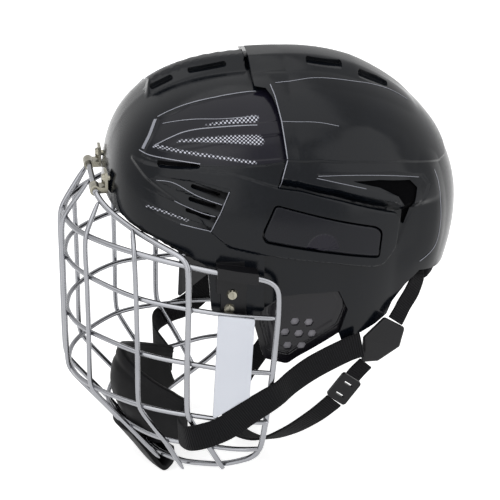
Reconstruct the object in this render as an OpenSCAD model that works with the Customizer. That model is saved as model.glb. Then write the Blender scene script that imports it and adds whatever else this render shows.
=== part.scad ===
// Ice hockey helmet with a hinged wire face cage, worn level on a head.
// Z is up, the face looks along -Y, and X points to the wearer's left.
// The origin is the middle of the head opening, at the level of the temples.

/* [Shells] */
// Half width of the shell over the temples
shell_half_w = 97; // [88:0.5:106]
// From the origin to the forehead
shell_front = 129; // [118:0.5:140]
// From the origin to the back of the head
shell_rear = 125.5; // [116:0.5:138]
// Height of the bare crown
crown_h = 107; // [96:0.5:118]
// Wall of both shells
wall = 3; // [2:0.1:4]
// Rise of the side arm over the front shell
arm_rise = 2; // [1:0.1:3]
// Clearance between the rear shell and what it slides over
slide_gap = 0.8; // [0.5:0.1:1.5]
// Extra room under the rear end of the arm, for the slide
slide_room = 2.6; // [1:0.2:3.2]

/* [Spine] */
// Height of the raised spine over the rear shell
spine_h = 6; // [3:0.5:9]
// Height of the spine's lip over the forehead
spine_lip_h = 9; // [5:0.5:12]
// Half width of the spine's foot at its front end
spine_front_w = 12; // [7:0.5:16]
// Half width of the spine's foot at its rear end
spine_rear_w = 25; // [14:0.5:28]

/* [Cage] */
// Diameter of the frame wires
frame_d = 4.2; // [3.6:0.1:5]
// Diameter of the inner wires
wire_d = 3.6; // [3:0.1:4.4]
// How deep two welded wires sink into each other
weld = 0.5; // [0.2:0.1:1]
// Height of the hinge axis
hinge_z = 27.4; // [20:0.1:35]
// Distance of the hinge axis in front of the origin
hinge_y = 137; // [134:0.1:142]
// Half length of the straight top bar
top_bar_half = 31; // [28:0.5:36]
// Distance of each top clip from the middle
clip_x = 24; // [20:0.5:28]
// Width of a top clip
clip_w = 10; // [6:0.5:12]
// Clearance of the top bar in its clips, on the radius
hinge_gap = 0.05; // [0.02:0.01:0.1]

/* [Latch] */
// Thickness of the adjuster lid
lid_t = 2.2; // [1.6:0.1:3]
// Radius of the lid's hinge pin
latch_pin_r = 0.7; // [0.5:0.1:0.9]
// Radius of the knuckles round that pin
knuckle_r = 1.4; // [1.2:0.1:1.6]
// Length of each lug of the lid's hinge
lug_w = 5; // [3:0.5:7]
// Radius of the round scoop for the thumb
scoop_r = 17; // [12:1:24]
// Length of the lid's hinge pin
latch_pin_l = 26; // [24:1:30]

/* [Straps] */
// Width of the wide cage straps
cage_strap_w = 19; // [12:0.5:22]
// Width of the chin strap
chin_strap_w = 14; // [10:0.5:18]
// Width of the webbing behind the ears
rear_strap_w = 12.5; // [10:0.5:18]
// Thickness of all webbing
web_t = 1.8; // [1.2:0.1:2.4]
// Thickness of the chin cup
cup_t = 6; // [4:0.5:9]

/* [Padding] */
// Thickness of the foam pads
pad_t = 13; // [8:0.5:18]
// Gap between a pad and the shell behind it
pad_gap = 1.7; // [1:0.1:2.2]

/* [Hidden] */

black = [0.05, 0.05, 0.06];
soft_black = [0.09, 0.09, 0.1];
smoke = [0.16, 0.16, 0.18];
steel = [0.75, 0.76, 0.78];
brass = [0.72, 0.66, 0.48];
pale = [0.82, 0.83, 0.86];

frame_r = frame_d / 2;
wire_r = wire_d / 2;
$fn = 32;

// The cage and the straps were laid out for this half width, and follow the shell from there.
laid_half_w = 97;
widen = shell_half_w / laid_half_w;
function wide(p) = [p.x * widen, p.y, p.z];
function wide_route(route) = [for (p = route) wide(p)];
function wide_stations(stations) = [for (s = stations) [wide(s[0]), s[1]]];

// Cuts through the side wall run outwards from here.
side_in = shell_half_w - 37;
side_reach = 60;

lug_at = 10;

// Small helpers for points and curves.
function unit(v) = v / norm(v);
function blend(a, b, t) = a + (b - a) * t;
function ease(t) = let (s = max(0, min(1, t))) s * s * (3 - 2 * s);

// A smooth curve through a list of points.
function spline(p, steps) = [
    for (i = [0:len(p) - 2], k = [0:steps - 1])
        let (
            t = k / steps,
            a = p[max(i - 1, 0)],
            b = p[i],
            c = p[i + 1],
            d = p[min(i + 2, len(p) - 1)]
        )
        (2 * b + (c - a) * t + (2 * a - 5 * b + 4 * c - d) * t * t
            + (3 * b - a - 3 * c + d) * t * t * t) / 2,
    p[len(p) - 1]
];

// A closed solid between two grids of points, outer and inner.
module thick_sheet(outer, inner) {
    rows = len(outer);
    cols = len(outer[0]);
    count = rows * cols;
    function at(side, r, c) = side * count + r * cols + c;
    function quad(a, b, c, d) = [[a, b, c], [a, c, d]];
    points = concat([for (r = outer) each r], [for (r = inner) each r]);
    faces = [
        for (r = [0:rows - 2], c = [0:cols - 2])
            each quad(at(0, r, c), at(0, r + 1, c), at(0, r + 1, c + 1), at(0, r, c + 1)),
        for (r = [0:rows - 2], c = [0:cols - 2])
            each quad(at(1, r, c), at(1, r, c + 1), at(1, r + 1, c + 1), at(1, r + 1, c)),
        for (r = [0:rows - 2])
            each quad(at(0, r, 0), at(1, r, 0), at(1, r + 1, 0), at(0, r + 1, 0)),
        for (r = [0:rows - 2])
            each quad(at(0, r, cols - 1), at(0, r + 1, cols - 1), at(1, r + 1, cols - 1), at(1, r, cols - 1)),
        for (c = [0:cols - 2])
            each quad(at(0, 0, c), at(0, 0, c + 1), at(1, 0, c + 1), at(1, 0, c)),
        for (c = [0:cols - 2])
            each quad(at(0, rows - 1, c), at(1, rows - 1, c), at(1, rows - 1, c + 1), at(0, rows - 1, c + 1))
    ];
    polyhedron(points, faces);
}

// A round wire along a route. The hint is a direction that the route never follows.
module wire(route, r, hint = [0, 0, 1], sides = 8) {
    n = len(route);
    function ring(i) =
        let (
            t = unit(route[min(i + 1, n - 1)] - route[max(i - 1, 0)]),
            u = unit(cross(t, hint)),
            v = cross(t, u)
        )
        [for (k = [0:sides - 1]) route[i] + r * (cos(k * 360 / sides) * u + sin(k * 360 / sides) * v)];
    points = [for (i = [0:n - 1]) each ring(i)];
    faces = [
        [for (k = [0:sides - 1]) k],
        [for (k = [sides - 1:-1:0]) (n - 1) * sides + k],
        for (i = [0:n - 2], k = [0:sides - 1])
            let (a = i * sides + k, b = i * sides + (k + 1) % sides)
            each [[a, a + sides, b + sides], [a, b + sides, b]]
    ];
    polyhedron(points, faces);
}

// A flat strap: each station is a place and the way its face looks.
module ribbon(stations, w, t) {
    n = len(stations);
    function place(i) = stations[i][0];
    function along(i) = unit(place(min(i + 1, n - 1)) - place(max(i - 1, 0)));
    function across(i) = unit(cross(along(i), stations[i][1]));
    function facing(i) = cross(across(i), along(i));
    function row(i, side) = [
        for (s = [-1, 0, 1]) place(i) + s * w / 2 * across(i) + side * t / 2 * facing(i)
    ];
    thick_sheet([for (i = [0:n - 1]) row(i, 1)], [for (i = [0:n - 1]) row(i, -1)]);
}

// Both a part's left side and its mirror image.
module both_sides() {
    children();
    mirror([1, 0, 0]) children();
}

// The head form that both shells follow: a rounded box whose corners soften from front to back.
function dome_power(lon) = lon < 90 ? 3 - 0.9 * lon / 90 : 2.1 - 0.1 * (lon - 90) / 90;
function skirt_depth(lon) = blend(250, 115, ease((lon - 110) / 70));
function dome_radius(d, lon) =
    let (
        n = dome_power(lon),
        b = lon < 90 ? shell_front : shell_rear,
        c = d.z > 0 ? crown_h : skirt_depth(lon)
    )
    pow(pow(abs(d.x) / shell_half_w, n) + pow(abs(d.y) / b, n) + pow(abs(d.z) / c, n), -1 / n);

// A point of the form: 0 degrees is the forehead, 180 the back, and off is measured outwards.
function dome_point(lon, lat, off) =
    let (
        turn = abs(lon) > 180 ? 360 - abs(lon) : abs(lon),
        d = [sin(lon) * cos(lat), -cos(lon) * cos(lat), sin(lat)]
    )
    d * (dome_radius(d, turn) + off);

// The side of the form at a height and a distance along Y.
function side_try(y, z, x) =
    let (
        n = dome_power(atan2(x, -y)),
        b = y < 0 ? shell_front : shell_rear,
        c = z > 0 ? crown_h : skirt_depth(atan2(x, -y))
    )
    shell_half_w * pow(max(0.01, 1 - pow(abs(y) / b, n) - pow(abs(z) / c, n)), 1 / n);
function side_x(y, z) = side_try(y, z, side_try(y, z, side_try(y, z, 90)));

lon_steps = 44;
low_lat = -60;

// A closed dome from rings of points, with a top and a bottom point.
module dome_solid(rings, top, bottom) {
    rows = len(rings);
    cols = len(rings[0]);
    points = concat([for (r = rings) each r], [top, bottom]);
    faces = [
        for (r = [0:rows - 2], c = [0:cols - 1])
            let (a = r * cols + c, b = r * cols + (c + 1) % cols)
            each [[a, a + cols, b + cols], [a, b + cols, b]],
        for (c = [0:cols - 1])
            [(rows - 1) * cols + c, rows * cols, (rows - 1) * cols + (c + 1) % cols],
        for (c = [0:cols - 1])
            [c, (c + 1) % cols, rows * cols + 1]
    ];
    polyhedron(points, faces);
}

module front_dome(off, fine = true) {
    lats = [for (lat = [low_lat:fine ? 7.5 : 10:80]) lat];
    n = fine ? lon_steps : 36;
    rings = [for (lat = lats) [for (k = [0:n - 1]) dome_point(k * 360 / n, lat, off)]];
    dome_solid(rings, dome_point(0, 90, off), [0, 0, rings[0][0].z]);
}

// The rear shell rides over the front shell above the ledge and laps inside it below.
function ledge_lat(lon) = lookup(lon, [
    [60, 32], [80, 30.6], [90, 29], [107, 23.8], [127, 15], [131, 13.2], [134, 11], [150, 9], [180, 9]
]);
upper_off = slide_gap + wall;
lap_depth = slide_gap + wall;
function lower_off(lon) =
    blend(-lap_depth - slide_room * ease((lon - 90) / 21), upper_off, ease((lon - 133) / 22));
function rear_off(lon, lat) = lat > ledge_lat(lon) ? upper_off : lower_off(lon);

module rear_dome(inset) {
    upper_steps = 8;
    lower_steps = 9;
    step_half = 1.1;
    n = lon_steps;
    function fold(lon) = lon > 180 ? 360 - lon : lon;
    function row(lat_of) = [
        for (k = [0:n - 1])
            let (lon = k * 360 / n, lat = lat_of(fold(lon)))
            dome_point(lon, lat, rear_off(fold(lon), lat) - inset)
    ];
    rings = concat(
        [for (i = [0:lower_steps])
            row(function (lon) blend(low_lat, ledge_lat(lon) - step_half, i / lower_steps))],
        [for (i = [0:upper_steps - 1])
            row(function (lon) blend(ledge_lat(lon) + step_half, 90, i / upper_steps))]
    );
    dome_solid(rings, dome_point(0, 90, upper_off - inset), [0, 0, rings[0][0].z]);
}

// A side view outline, cut right through the helmet along X.
module side_prism(outline, reach = 130) {
    rotate([90, 0, 90]) translate([0, 0, -reach]) linear_extrude(2 * reach) polygon(outline);
}

// A round-ended hole along X on both sides, between two places of the side view.
module side_slot(a, b, r) {
    both_sides() hull() {
        for (p = [a, b])
            translate([side_in - 30, p[0], p[1]]) rotate([0, 90, 0])
                cylinder(r = r, h = side_reach + 30, $fn = 16);
    }
}

// Outline of the front shell's sheet: brow, temple lobe and the tongue under the rear shell.
brow = [[-150, 20], [-128, 20], [-125.5, 19.4], [-106.5, 13], [-80.5, 1], [-67, -8]];
temple_lobe = [[-65, -14], [-63, -42], [-58, -47], [-32, -47], [-26.5, -42], [-26.5, 0]];
front_outline = concat(brow, temple_lobe, [
    [-5, 0], [-5, 42], [-16.6, 44], [-16.2, 48], [-12, 58], [14, 54], [17, 60], [20, 107],
    [20, 150], [-150, 150]
]);

// Outline of the raised arm that runs back over the side.
arm_outline = [
    [-113, 60], [-101, 59], [-75, 60], [-48, 58], [-16, 47.5], [0, 44.5], [27, 36], [62, 22.5],
    [69, 20], [72, 15], [71, 9], [69, -6], [60, -16.5], [52, -17], [20, -8.5], [-16, -1.5], [-50, 7],
    [-64, 19], [-72, 30], [-104, 50]
];

// The flat facet above the arm, and the window of the lid in the arm.
facet_outline = [
    [-108, 64], [-93, 84], [-65, 96], [-23, 101], [-12, 104], [-10, 63], [-59, 65], [-90, 64]
];
lid_outline = [[-18, 36], [53, 13], [57, 9], [55, -9], [22, 0], [-25, 11.5], [-27, 15], [-26, 19]];

spine_front_y = -97;
spine_split_y = -27;
spine_rear_y = 92;

function crown_z(y) =
    let (n = y < 0 ? 3 : 2, b = y < 0 ? shell_front : shell_rear)
    crown_h * pow(max(0, 1 - pow(abs(y) / b, n)), 1 / n);

// Half width and height of the spine, from its lip to where it dies out at the back.
function spine_foot(y) = lookup(y, [
    [spine_front_y, spine_front_w - 2], [spine_split_y, spine_front_w + 2],
    [spine_split_y + 1, spine_rear_w], [50, spine_rear_w - 1], [spine_rear_y, spine_rear_w - 7]
]);
function spine_rise(y) = lookup(y, [
    [spine_front_y, spine_lip_h], [-60, spine_lip_h + 0.5], [spine_split_y, spine_lip_h],
    [spine_split_y + 1, spine_h], [40, spine_h - 1], [75, spine_h - 3], [spine_rear_y, 0.3]
]);

// The spine over the middle of the shell, as a row of trapezoids.
module spine(y0, y1, lift, steps) {
    function row(y, up) = [
        for (s = [-1, -0.38, 0, 0.38, 1])
            let (x = s * spine_foot(y), drop = 48 * pow(abs(x) / shell_half_w, 2.1))
            [x, y, crown_z(y) - drop + lift + (up ? (abs(s) == 1 ? 0.2 : spine_rise(y)) : -1.5)]
    ];
    ys = [for (i = [0:steps]) blend(y0, y1, i / steps)];
    thick_sheet([for (y = ys) row(y, true)], [for (y = ys) row(y, false)]);
}

// A slot through the spine's side wall, from one place along it to another.
module spine_slot(y0, y1, lift, x) {
    both_sides() hull() {
        for (y = [y0, y1])
            translate([x, y, crown_z(y) + lift]) rotate([0, 90, 0]) cylinder(r = 1.7, h = 40, $fn = 16);
    }
}

// Places on the forehead where the top clips are screwed on.
clip_screw_z = 34.4;
clip_face_y = -(shell_front - 1.2);
screw_r = 2;

// Places of the two screws of each clip at the temples, in the side view.
j_screws = [[-49, -29], [-51, -40]];
j_tab_t = 2.9;
j_seat_x = shell_half_w - 5.7;

// Sunken areas of the front shell: the grille over the temple, and the two arrows in the facet.
grille_outline = [[-108, 44], [-66, 45], [-48, 46], [-54, 28], [-59, 19], [-66, 20], [-80, 30]];
arrow_high = [[-97, 70], [-80, 79], [-56, 84], [-28, 86], [-13, 85], [-28, 79], [-60, 74], [-82, 69]];
arrow_low = [[-92, 65.5], [-80, 70], [-60, 73], [-30, 76], [-13, 77], [-22, 70], [-38, 66.5]];

// Cuts a side outline into the shell to one depth below the form.
module sunk(outline, depth) {
    difference() {
        side_prism(outline);
        front_dome(-depth);
        translate([-18, -160, 40]) cube([36, 160, 90]);
    }
}

module front_shell() {
    color(black) difference() {
        union() {
            difference() {
                intersection() {
                    front_dome(0);
                    side_prism(front_outline);
                }
                front_dome(-wall, false);
            }
            difference() {
                intersection() {
                    front_dome(arm_rise);
                    side_prism(arm_outline);
                }
                front_dome(arm_rise - wall, false);
            }
            spine(spine_front_y, spine_split_y, 0, 9);
        }
        sunk(facet_outline, 0.9);
        sunk(arrow_high, 1.8);
        sunk(arrow_low, 1.8);
        sunk(grille_outline, 1.2);
        // Air slots: in the spine, over the brow and in the grille above the temple.
        spine_slot(-93, -80, 4, 4.5);
        spine_slot(-66, -42, 4.5, 4.5);
        side_slot([-95, 60.5], [-70, 62], 2);
        side_slot([-92, 41.5], [-56, 42], 1.7);
        side_slot([-82, 34.5], [-57, 34], 1.7);
        side_slot([-73, 27], [-60, 26], 1.7);
        // The window of the lid, and the holes of the screws.
        for (side = [-1, 1]) {
            scale([side, 1, 1]) {
                translate([side_in + 20, 0, 0]) rotate([90, 0, 90]) linear_extrude(side_reach - 20)
                    offset(delta = 0.8) polygon(lid_outline);
                translate([clip_x, 0, clip_screw_z]) rotate([90, 0, 0])
                    cylinder(r = screw_r + 0.3, h = 200, $fn = 16);
                for (s = j_screws)
                    translate([side_in, s[0], s[1]]) rotate([0, 90, 0])
                        cylinder(r = screw_r + 0.3, h = side_reach, $fn = 16);
                // A shallow seat for the clip at the temple.
                translate([j_seat_x, -68, -50]) cube([20, 40, 52]);
            }
        }
    }
}

// A foam pad that follows the inside of a shell.
module pad(lon0, lon1, lat0, lat1, off_of, t, cols = 8, rows = 4) {
    crown = 3;
    function edge(u) = 1 - pow(abs(2 * u - 1), 6);
    function row(v, inner) = [
        for (i = [0:cols])
            let (
                u = i / cols,
                lon = blend(lon0, lon1, u),
                lat = blend(lat0(lon), lat1(lon), v),
                skin = off_of(lon, lat) - pad_gap,
                depth = inner ? t - crown + crown * min(edge(u), edge(v)) : 0
            )
            dome_point(lon, lat, skin - depth)
    ];
    thick_sheet([for (j = [0:rows]) row(j / rows, false)], [for (j = [0:rows]) row(j / rows, true)]);
}

function front_skin(lon, lat) = -wall;
function rear_skin(lon, lat) = rear_off(abs(lon) > 180 ? 360 - abs(lon) : abs(lon), lat) - wall;
function brow_lat(lon) = lookup(abs(lon), [[0, 5.6], [16, 5.2], [33, 2.6], [46, -3], [54, -8]]);

module forehead_pad() {
    color(soft_black)
        pad(-54, 54, function (lon) brow_lat(lon), function (lon) 27,
            function (lon, lat) front_skin(lon, lat), pad_t + 4, 16, 4);
}

module crown_pad() {
    color(soft_black)
        pad(-50, 50, function (lon) 46, function (lon) 78,
            function (lon, lat) front_skin(lon, lat), pad_t - 3, 8, 4);
}

module temple_pad_left() {
    color(soft_black)
        pad(57, 70.5, function (lon) -24, function (lon) 22,
            function (lon, lat) front_skin(lon, lat) - 1.4, pad_t, 4, 6);
}

module temple_pad_right() {
    mirror([1, 0, 0]) temple_pad_left();
}

module rear_crown_pad() {
    color(soft_black)
        pad(146, 214, function (lon) 34, function (lon) 70,
            function (lon, lat) slide_gap + 0.9, pad_t - 3, 8, 4);
}

module side_pad_left() {
    color(soft_black)
        pad(86, 124, function (lon) -15.5, function (lon) -5,
            function (lon, lat) rear_skin(lon, lat) + 1.1, pad_t - 1, 6, 3);
}

module side_pad_right() {
    mirror([1, 0, 0]) side_pad_left();
}

module occipital_pad() {
    color(soft_black)
        pad(152, 208, function (lon) -24, function (lon) 14,
            function (lon, lat) rear_skin(lon, lat), pad_t + 2, 10, 5);
}

// The clip that carries the top bar: a plate on the forehead and a loop round the bar.
loop_r = frame_r + hinge_gap;
clip_t = 1.6;

module top_clip_left() {
    color(brass) difference() {
        union() {
            translate([clip_x - clip_w / 2, -hinge_y, hinge_z]) rotate([0, 90, 0])
                cylinder(r = loop_r + clip_t, h = clip_w, $fn = 48);
            translate([clip_x - clip_w / 2, -hinge_y, hinge_z - loop_r - clip_t + 1.6])
                cube([clip_w, hinge_y + clip_face_y - 0.2, 2 * loop_r]);
            translate([clip_x - clip_w / 2, clip_face_y - 2.2, hinge_z - 2])
                cube([clip_w, 2, clip_screw_z - hinge_z + 8]);
        }
        translate([clip_x - clip_w, -hinge_y, hinge_z]) rotate([0, 90, 0])
            cylinder(r = loop_r, h = 2 * clip_w, $fn = 48);
        translate([clip_x, 0, clip_screw_z]) rotate([90, 0, 0]) cylinder(r = screw_r + 0.2, h = 200);
    }
}

module top_clip_right() {
    mirror([1, 0, 0]) top_clip_left();
}

// A pan head screw with a slot, along Y and facing forward, or along X and facing out.
module screw(head_r, head_h, length) {
    difference() {
        union() {
            cylinder(r = screw_r, h = length + 0.01);
            translate([0, 0, length]) cylinder(r1 = head_r, r2 = head_r - 1, h = head_h);
        }
        translate([-head_r, -0.5, length + head_h - 0.9]) cube([2 * head_r, 1, 2]);
    }
}

module top_clip_screws() {
    color(brass) for (x = [-clip_x, clip_x])
        translate([x, clip_face_y - 2.2 + 6, clip_screw_z]) rotate([90, 0, 0]) screw(4.2, 2, 6);
}

// The clip at the temple: a plate on the shell and a hook over the cage's upper side wire.
hook_ys = [-60, -46, -32];
hook_gap = 0.7;
function side_wire_at(y) = [bar_x(y), y, bar_z(0, y)];

module hook_block(y0, y1, x_from, x_to, z_from, z_to) {
    hull() for (y = [y0, y1 - 0.4])
        let (w = side_wire_at(y))
        translate([x_from == 0 ? j_seat_x : w.x + x_from, y, w.z + z_from])
            cube([w.x + x_to - (x_from == 0 ? j_seat_x : w.x + x_from), 0.4, z_to - z_from]);
}

module j_clip_left() {
    in = frame_r + hook_gap;
    color(black) difference() {
        union() {
            translate([j_seat_x, -57, -45]) cube([j_tab_t, 18, 30]);
            translate([j_seat_x, -60, -28]) cube([j_tab_t, 28, 24]);
            for (k = [0, 1]) {
                hook_block(hook_ys[k], hook_ys[k + 1] + 0.1, 0, in + 2.2, in, in + 2.6);
                hook_block(hook_ys[k], hook_ys[k + 1] + 0.1, in, in + 2.2, -3, in + 2.6);
            }
        }
        for (s = j_screws)
            translate([side_in, s[0], s[1]]) rotate([0, 90, 0]) cylinder(r = screw_r + 0.2, h = side_reach);
    }
}

module j_clip_right() {
    mirror([1, 0, 0]) j_clip_left();
}

module j_clip_screws() {
    color(brass) both_sides() for (s = j_screws)
        translate([j_seat_x + j_tab_t - 6, s[0], s[1]]) rotate([0, 90, 0]) screw(4.1, 1.8, 6.01);
}

// The adjuster: a lid that fills the window in the arm and turns up about its top edge.
function lid_low(y) = lookup(y, [[-26, 15], [-24, 11.3], [22, 0.3], [54, -8.5], [56, -7]]);
function lid_high(y) = lookup(y, [[-26, 18], [-18, 35.4], [52, 13], [56, 9]]);
axis_y0 = 2;
axis_y1 = 32;
axis_drop = knuckle_r + 0.2;
latch_a = [side_x(axis_y0, lid_high(axis_y0)) + 0.4, axis_y0, lid_high(axis_y0) - axis_drop];
latch_b = [side_x(axis_y1, lid_high(axis_y1)) + 0.4, axis_y1, lid_high(axis_y1) - axis_drop];
latch_axis = unit(latch_b - latch_a);
latch_mid = (latch_a + latch_b) / 2;

module along_latch(length, back = 0) {
    turn_z = atan2(latch_axis.y, latch_axis.x);
    turn_y = acos(latch_axis.z);
    translate(latch_mid - latch_axis * (length / 2 + back)) rotate([0, turn_y, turn_z]) children();
}

// A curved plate under a side outline that runs between two edges, from front to back.
module side_panel(y0, y1, low, high, off, t, cols = 10, rows = 4) {
    function row(v, depth) = [
        for (i = [0:cols])
            let (y = blend(y0, y1, i / cols), z = blend(low(y), high(y), v))
            [side_x(y, z) + off - depth, y, z]
    ];
    thick_sheet([for (j = [0:rows]) row(j / rows, 0)], [for (j = [0:rows]) row(j / rows, t)]);
}

module latch_lid_left() {
    color(black) difference() {
        union() {
            side_panel(-26, 55.4, function (y) lid_low(y), function (y) lid_high(y), arm_rise, lid_t, 12, 4);
            along_latch(14) cylinder(r = knuckle_r, h = 14);
        }
        // The thumb scoop at the lower edge, and the bore for the pin.
        translate([side_x(13, 3) + arm_rise - 1.5 + scoop_r, 13, 3]) sphere(r = scoop_r, $fn = 48);
        along_latch(60) cylinder(r = latch_pin_r + 0.05, h = 60);
        // Notches for the two lugs.
        for (back = [-lug_at, lug_at])
            along_latch(lug_w + 0.6, back) cylinder(r = knuckle_r + 1.4, h = lug_w + 0.6);
    }
}

module latch_lid_right() {
    mirror([1, 0, 0]) latch_lid_left();
}

module latch_pin_left() {
    color(steel) along_latch(latch_pin_l) cylinder(r = latch_pin_r, h = latch_pin_l);
}

module latch_pin_right() {
    mirror([1, 0, 0]) latch_pin_left();
}

// The tray behind the lid, with two lugs that hold the pin.
module latch_base_left() {
    floor_off = arm_rise - lid_t - 0.4;
    color(black) difference() {
        union() {
            side_panel(-26.2, 55.6, function (y) lid_low(y) - 0.3, function (y) lid_high(y) - 4.4,
                floor_off, 1.5, 12, 3);
            for (back = [-lug_at, lug_at]) {
                along_latch(lug_w, back) cylinder(r = knuckle_r, h = lug_w);
                along_latch(lug_w, back) translate([-0.2, 0.9, 0]) cube([6, 1.5, lug_w]);
            }
        }
        along_latch(60) cylinder(r = latch_pin_r, h = 60);
    }
}

module latch_base_right() {
    mirror([1, 0, 0]) latch_base_left();
}

// Outline of the rear shell.
rear_outline = [
    [-25, 150], [-22, 107], [-17.5, 103.5], [-14, 99.7], [-11.6, 94], [-10.6, 85.6], [-9.6, 73],
    [-8.6, 63], [-15, 47], [-28.5, 47], [-28, -44], [-14, -34], [1, -33], [28, -35], [35, -51],
    [29, -70], [31, -76], [46, -72], [57, -68], [66, -63], [70, -54], [80, -43], [91, -34], [103, -37],
    [150, -46], [150, 150]
];
// The raised tail behind the arm, and the bent vent in it.
vent_outline = [
    [37, 47.5], [57, 45], [81, 39], [87, 32], [85, 24], [76.5, 6], [74.5, 8], [76, 23], [71, 31], [57, 40]
];

module rear_shell() {
    color(black) difference() {
        union() {
            difference() {
                intersection() {
                    rear_dome(0);
                    side_prism(rear_outline);
                }
                rear_dome(wall);
            }
            spine(spine_split_y + 2, spine_rear_y, upper_off, 12);
        }
        // Air slots in the spine, and the bent vent under the ledge.
        spine_slot(17, 40, upper_off + 2.4, 9);
        spine_slot(54, 73, upper_off + 0.9, 12);
        difference() {
            side_prism(vent_outline);
            rear_dome(1.4);
        }
        side_slot([78, 33], [83, 32], 2);
        side_slot([82, 29], [78, 14], 1.4);
        side_slot([-9, -38], [28, -40], 1);
    }
}

// The clear guard over each ear, hung inside the rear shell.
function ear_high(y) = lookup(y, [[-33, -45], [-14, -28], [1, -27], [30, -29], [38, -46]]);
function ear_low(y) = lookup(y, [[-33, -54], [-25, -86], [-8, -92], [-1, -87], [32, -69], [38, -54]]);
ear_off = -lap_depth - wall - 2.7;

ear_holes = [[-3, -57.5], [7, -59], [-10, -65.5], [0, -67.5], [9.5, -68.5], [-8, -76.5], [2, -77.5]];

module ear_guard_left() {
    color(smoke) difference() {
        side_panel(-33, 38, function (y) ear_low(y), function (y) ear_high(y), ear_off, 2.4, 12, 6);
        for (h = ear_holes)
            translate([side_in, h[0], h[1]]) rotate([0, 90, 0]) cylinder(r = 3.7, h = side_reach, $fn = 6);
    }
}

module ear_guard_right() {
    mirror([1, 0, 0]) ear_guard_left();
}

// The webbing that comes down behind the ear.
rear_strap_left_route = [
    [[52.4, 85.8, -34], [0.9, 0.4, 0]],
    [[58, 91, -41], [0.9, 0.4, 0]],
    [[66, 86, -49], [1, 0.2, 0]],
    [[71.8, 78.8, -57.2], [1, 0.2, 0]],
    [[75.6, 75, -61.8], [1, 0.2, 0]],
    [[78, 71.3, -66.8], [1, 0.1, 0]]
];

module rear_strap_left() {
    // The two top stations stay by the pad at the back, which the shell's width hardly moves.
    top = [for (i = [0, 1]) rear_strap_left_route[i]];
    rest = [for (i = [2:len(rear_strap_left_route) - 1]) rear_strap_left_route[i]];
    color(soft_black) ribbon(concat(top, wide_stations(rest)), rear_strap_w, web_t);
}

module rear_strap_right() {
    mirror([1, 0, 0]) rear_strap_left();
}

// The plastic end that joins the rear webbing, the cage strap and the hanger.
module strap_connector_left() {
    color(black) hull() {
        for (p = [
            [80.5, 63, -64.5], [77, 76, -74], [77.5, 73, -86],
            [80.5, 58, -94], [82.5, 48.5, -93], [84, 49, -76]
        ])
            translate(wide(p)) sphere(r = 2.4, $fn = 12);
    }
}

module strap_connector_right() {
    mirror([1, 0, 0]) strap_connector_left();
}

// The hanger below the connector, its slotted glide, and the thin strap under the chin.
hanger_route = [
    [[80.6, 50, -97.6], [1, 0.1, 0]],
    [[80.3, 44, -104], [1, 0, 0]],
    [[80, 40.5, -108.5], [1, 0, 0]]
];
chin_route = [
    [[78.7, 27.5, -127.4], [1, 0, 0]],
    [[77.9, 23.7, -131.4], [1, 0, -0.1]],
    [[75, 12.5, -142], [1, -0.1, -0.4]],
    [[65, -3.5, -157.5], [0.9, 0, -0.7]],
    [[49, -20, -171.5], [0.5, 0, -1]],
    [[22, -32, -180.5], [0.2, 0, -1]],
    [[0, -36, -182.5], [0, 0, -1]]
];

module hanger_left() {
    color(soft_black) ribbon(wide_stations(hanger_route), 12, web_t);
}

module hanger_right() {
    mirror([1, 0, 0]) hanger_left();
}

module strap_glide_left() {
    color(black) translate(wide([79, 34.5, -118])) rotate([-37, 0, 0]) difference() {
        hull() for (y = [-6, 6], z = [-8.5, 8.5])
            translate([-1.5, y, z]) rotate([0, 90, 0]) cylinder(r = 2.2, h = 3, $fn = 16);
        for (z = [-5, 5]) translate([-3, -3.5, z - 0.8]) cube([6, 7, 1.6]);
    }
}

module strap_glide_right() {
    mirror([1, 0, 0]) strap_glide_left();
}

module chin_strap() {
    left = spline([for (s = chin_route) wide(s[0])], 3);
    faces = spline([for (s = chin_route) s[1]], 3);
    half = [for (i = [0:len(left) - 1]) [left[i], unit(faces[i])]];
    other = [for (i = [len(half) - 2:-1:0]) [[-half[i][0].x, half[i][0].y, half[i][0].z],
        [-half[i][1].x, half[i][1].y, half[i][1].z]]];
    color(soft_black) ribbon(concat(half, other), chin_strap_w, web_t);
}

// Cage. Each crossbar follows one plan curve, at its own height and slope.
bar_plan = [[101.3, -17], [99.5, -48], [91.5, -76], [77, -113], [44.5, -143], [22, -154.5], [0, -158]];
low_plan = [[91.5, -28], [90, -45], [81, -66], [66, -97], [42, -116], [21, -126], [0, -130]];
bar_levels = [-1, -32, -77, -121];
bar_slopes = [0.17, 0.11, 0.115, 0.09];
bar_knees = [-113, -150, -130, -115];
bar_ends = [-17, -18, -20.5, -24];
low_bar_z = -155.5;

function bar_x(y) = let (c = plan_curve(bar_plan)) lookup(y, [for (i = [len(c) - 1:-1:0]) [c[i].y, c[i].x]]);
function bar_z(k, y) = bar_levels[k] - bar_slopes[k] * max(0, y - bar_knees[k]);
function half_to_whole(h) = concat(h, [for (i = [len(h) - 2:-1:0]) [-h[i].x, h[i].y, h[i].z]]);
function plan_curve(plan) = spline([for (p = plan) [p.x * widen, p.y]], 2);

module crossbar(plan, z_of, end) {
    half = [for (p = plan_curve(plan)) [p.x, max(-200, min(p.y, end)), z_of(min(p.y, end))]];
    used = [for (i = [0:len(half) - 1]) if (i == len(half) - 1 || norm(half[i] - half[i + 1]) > 4) half[i]];
    wire(half_to_whole(used), wire_r, [0, 0, 1]);
}

module cage_crossbars() {
    color(steel) {
        for (k = [1:3])
            crossbar(bar_plan, function (y) bar_z(k, y), bar_ends[k]);
        crossbar(low_plan, function (y) low_bar_z, -28);
    }
}

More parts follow.
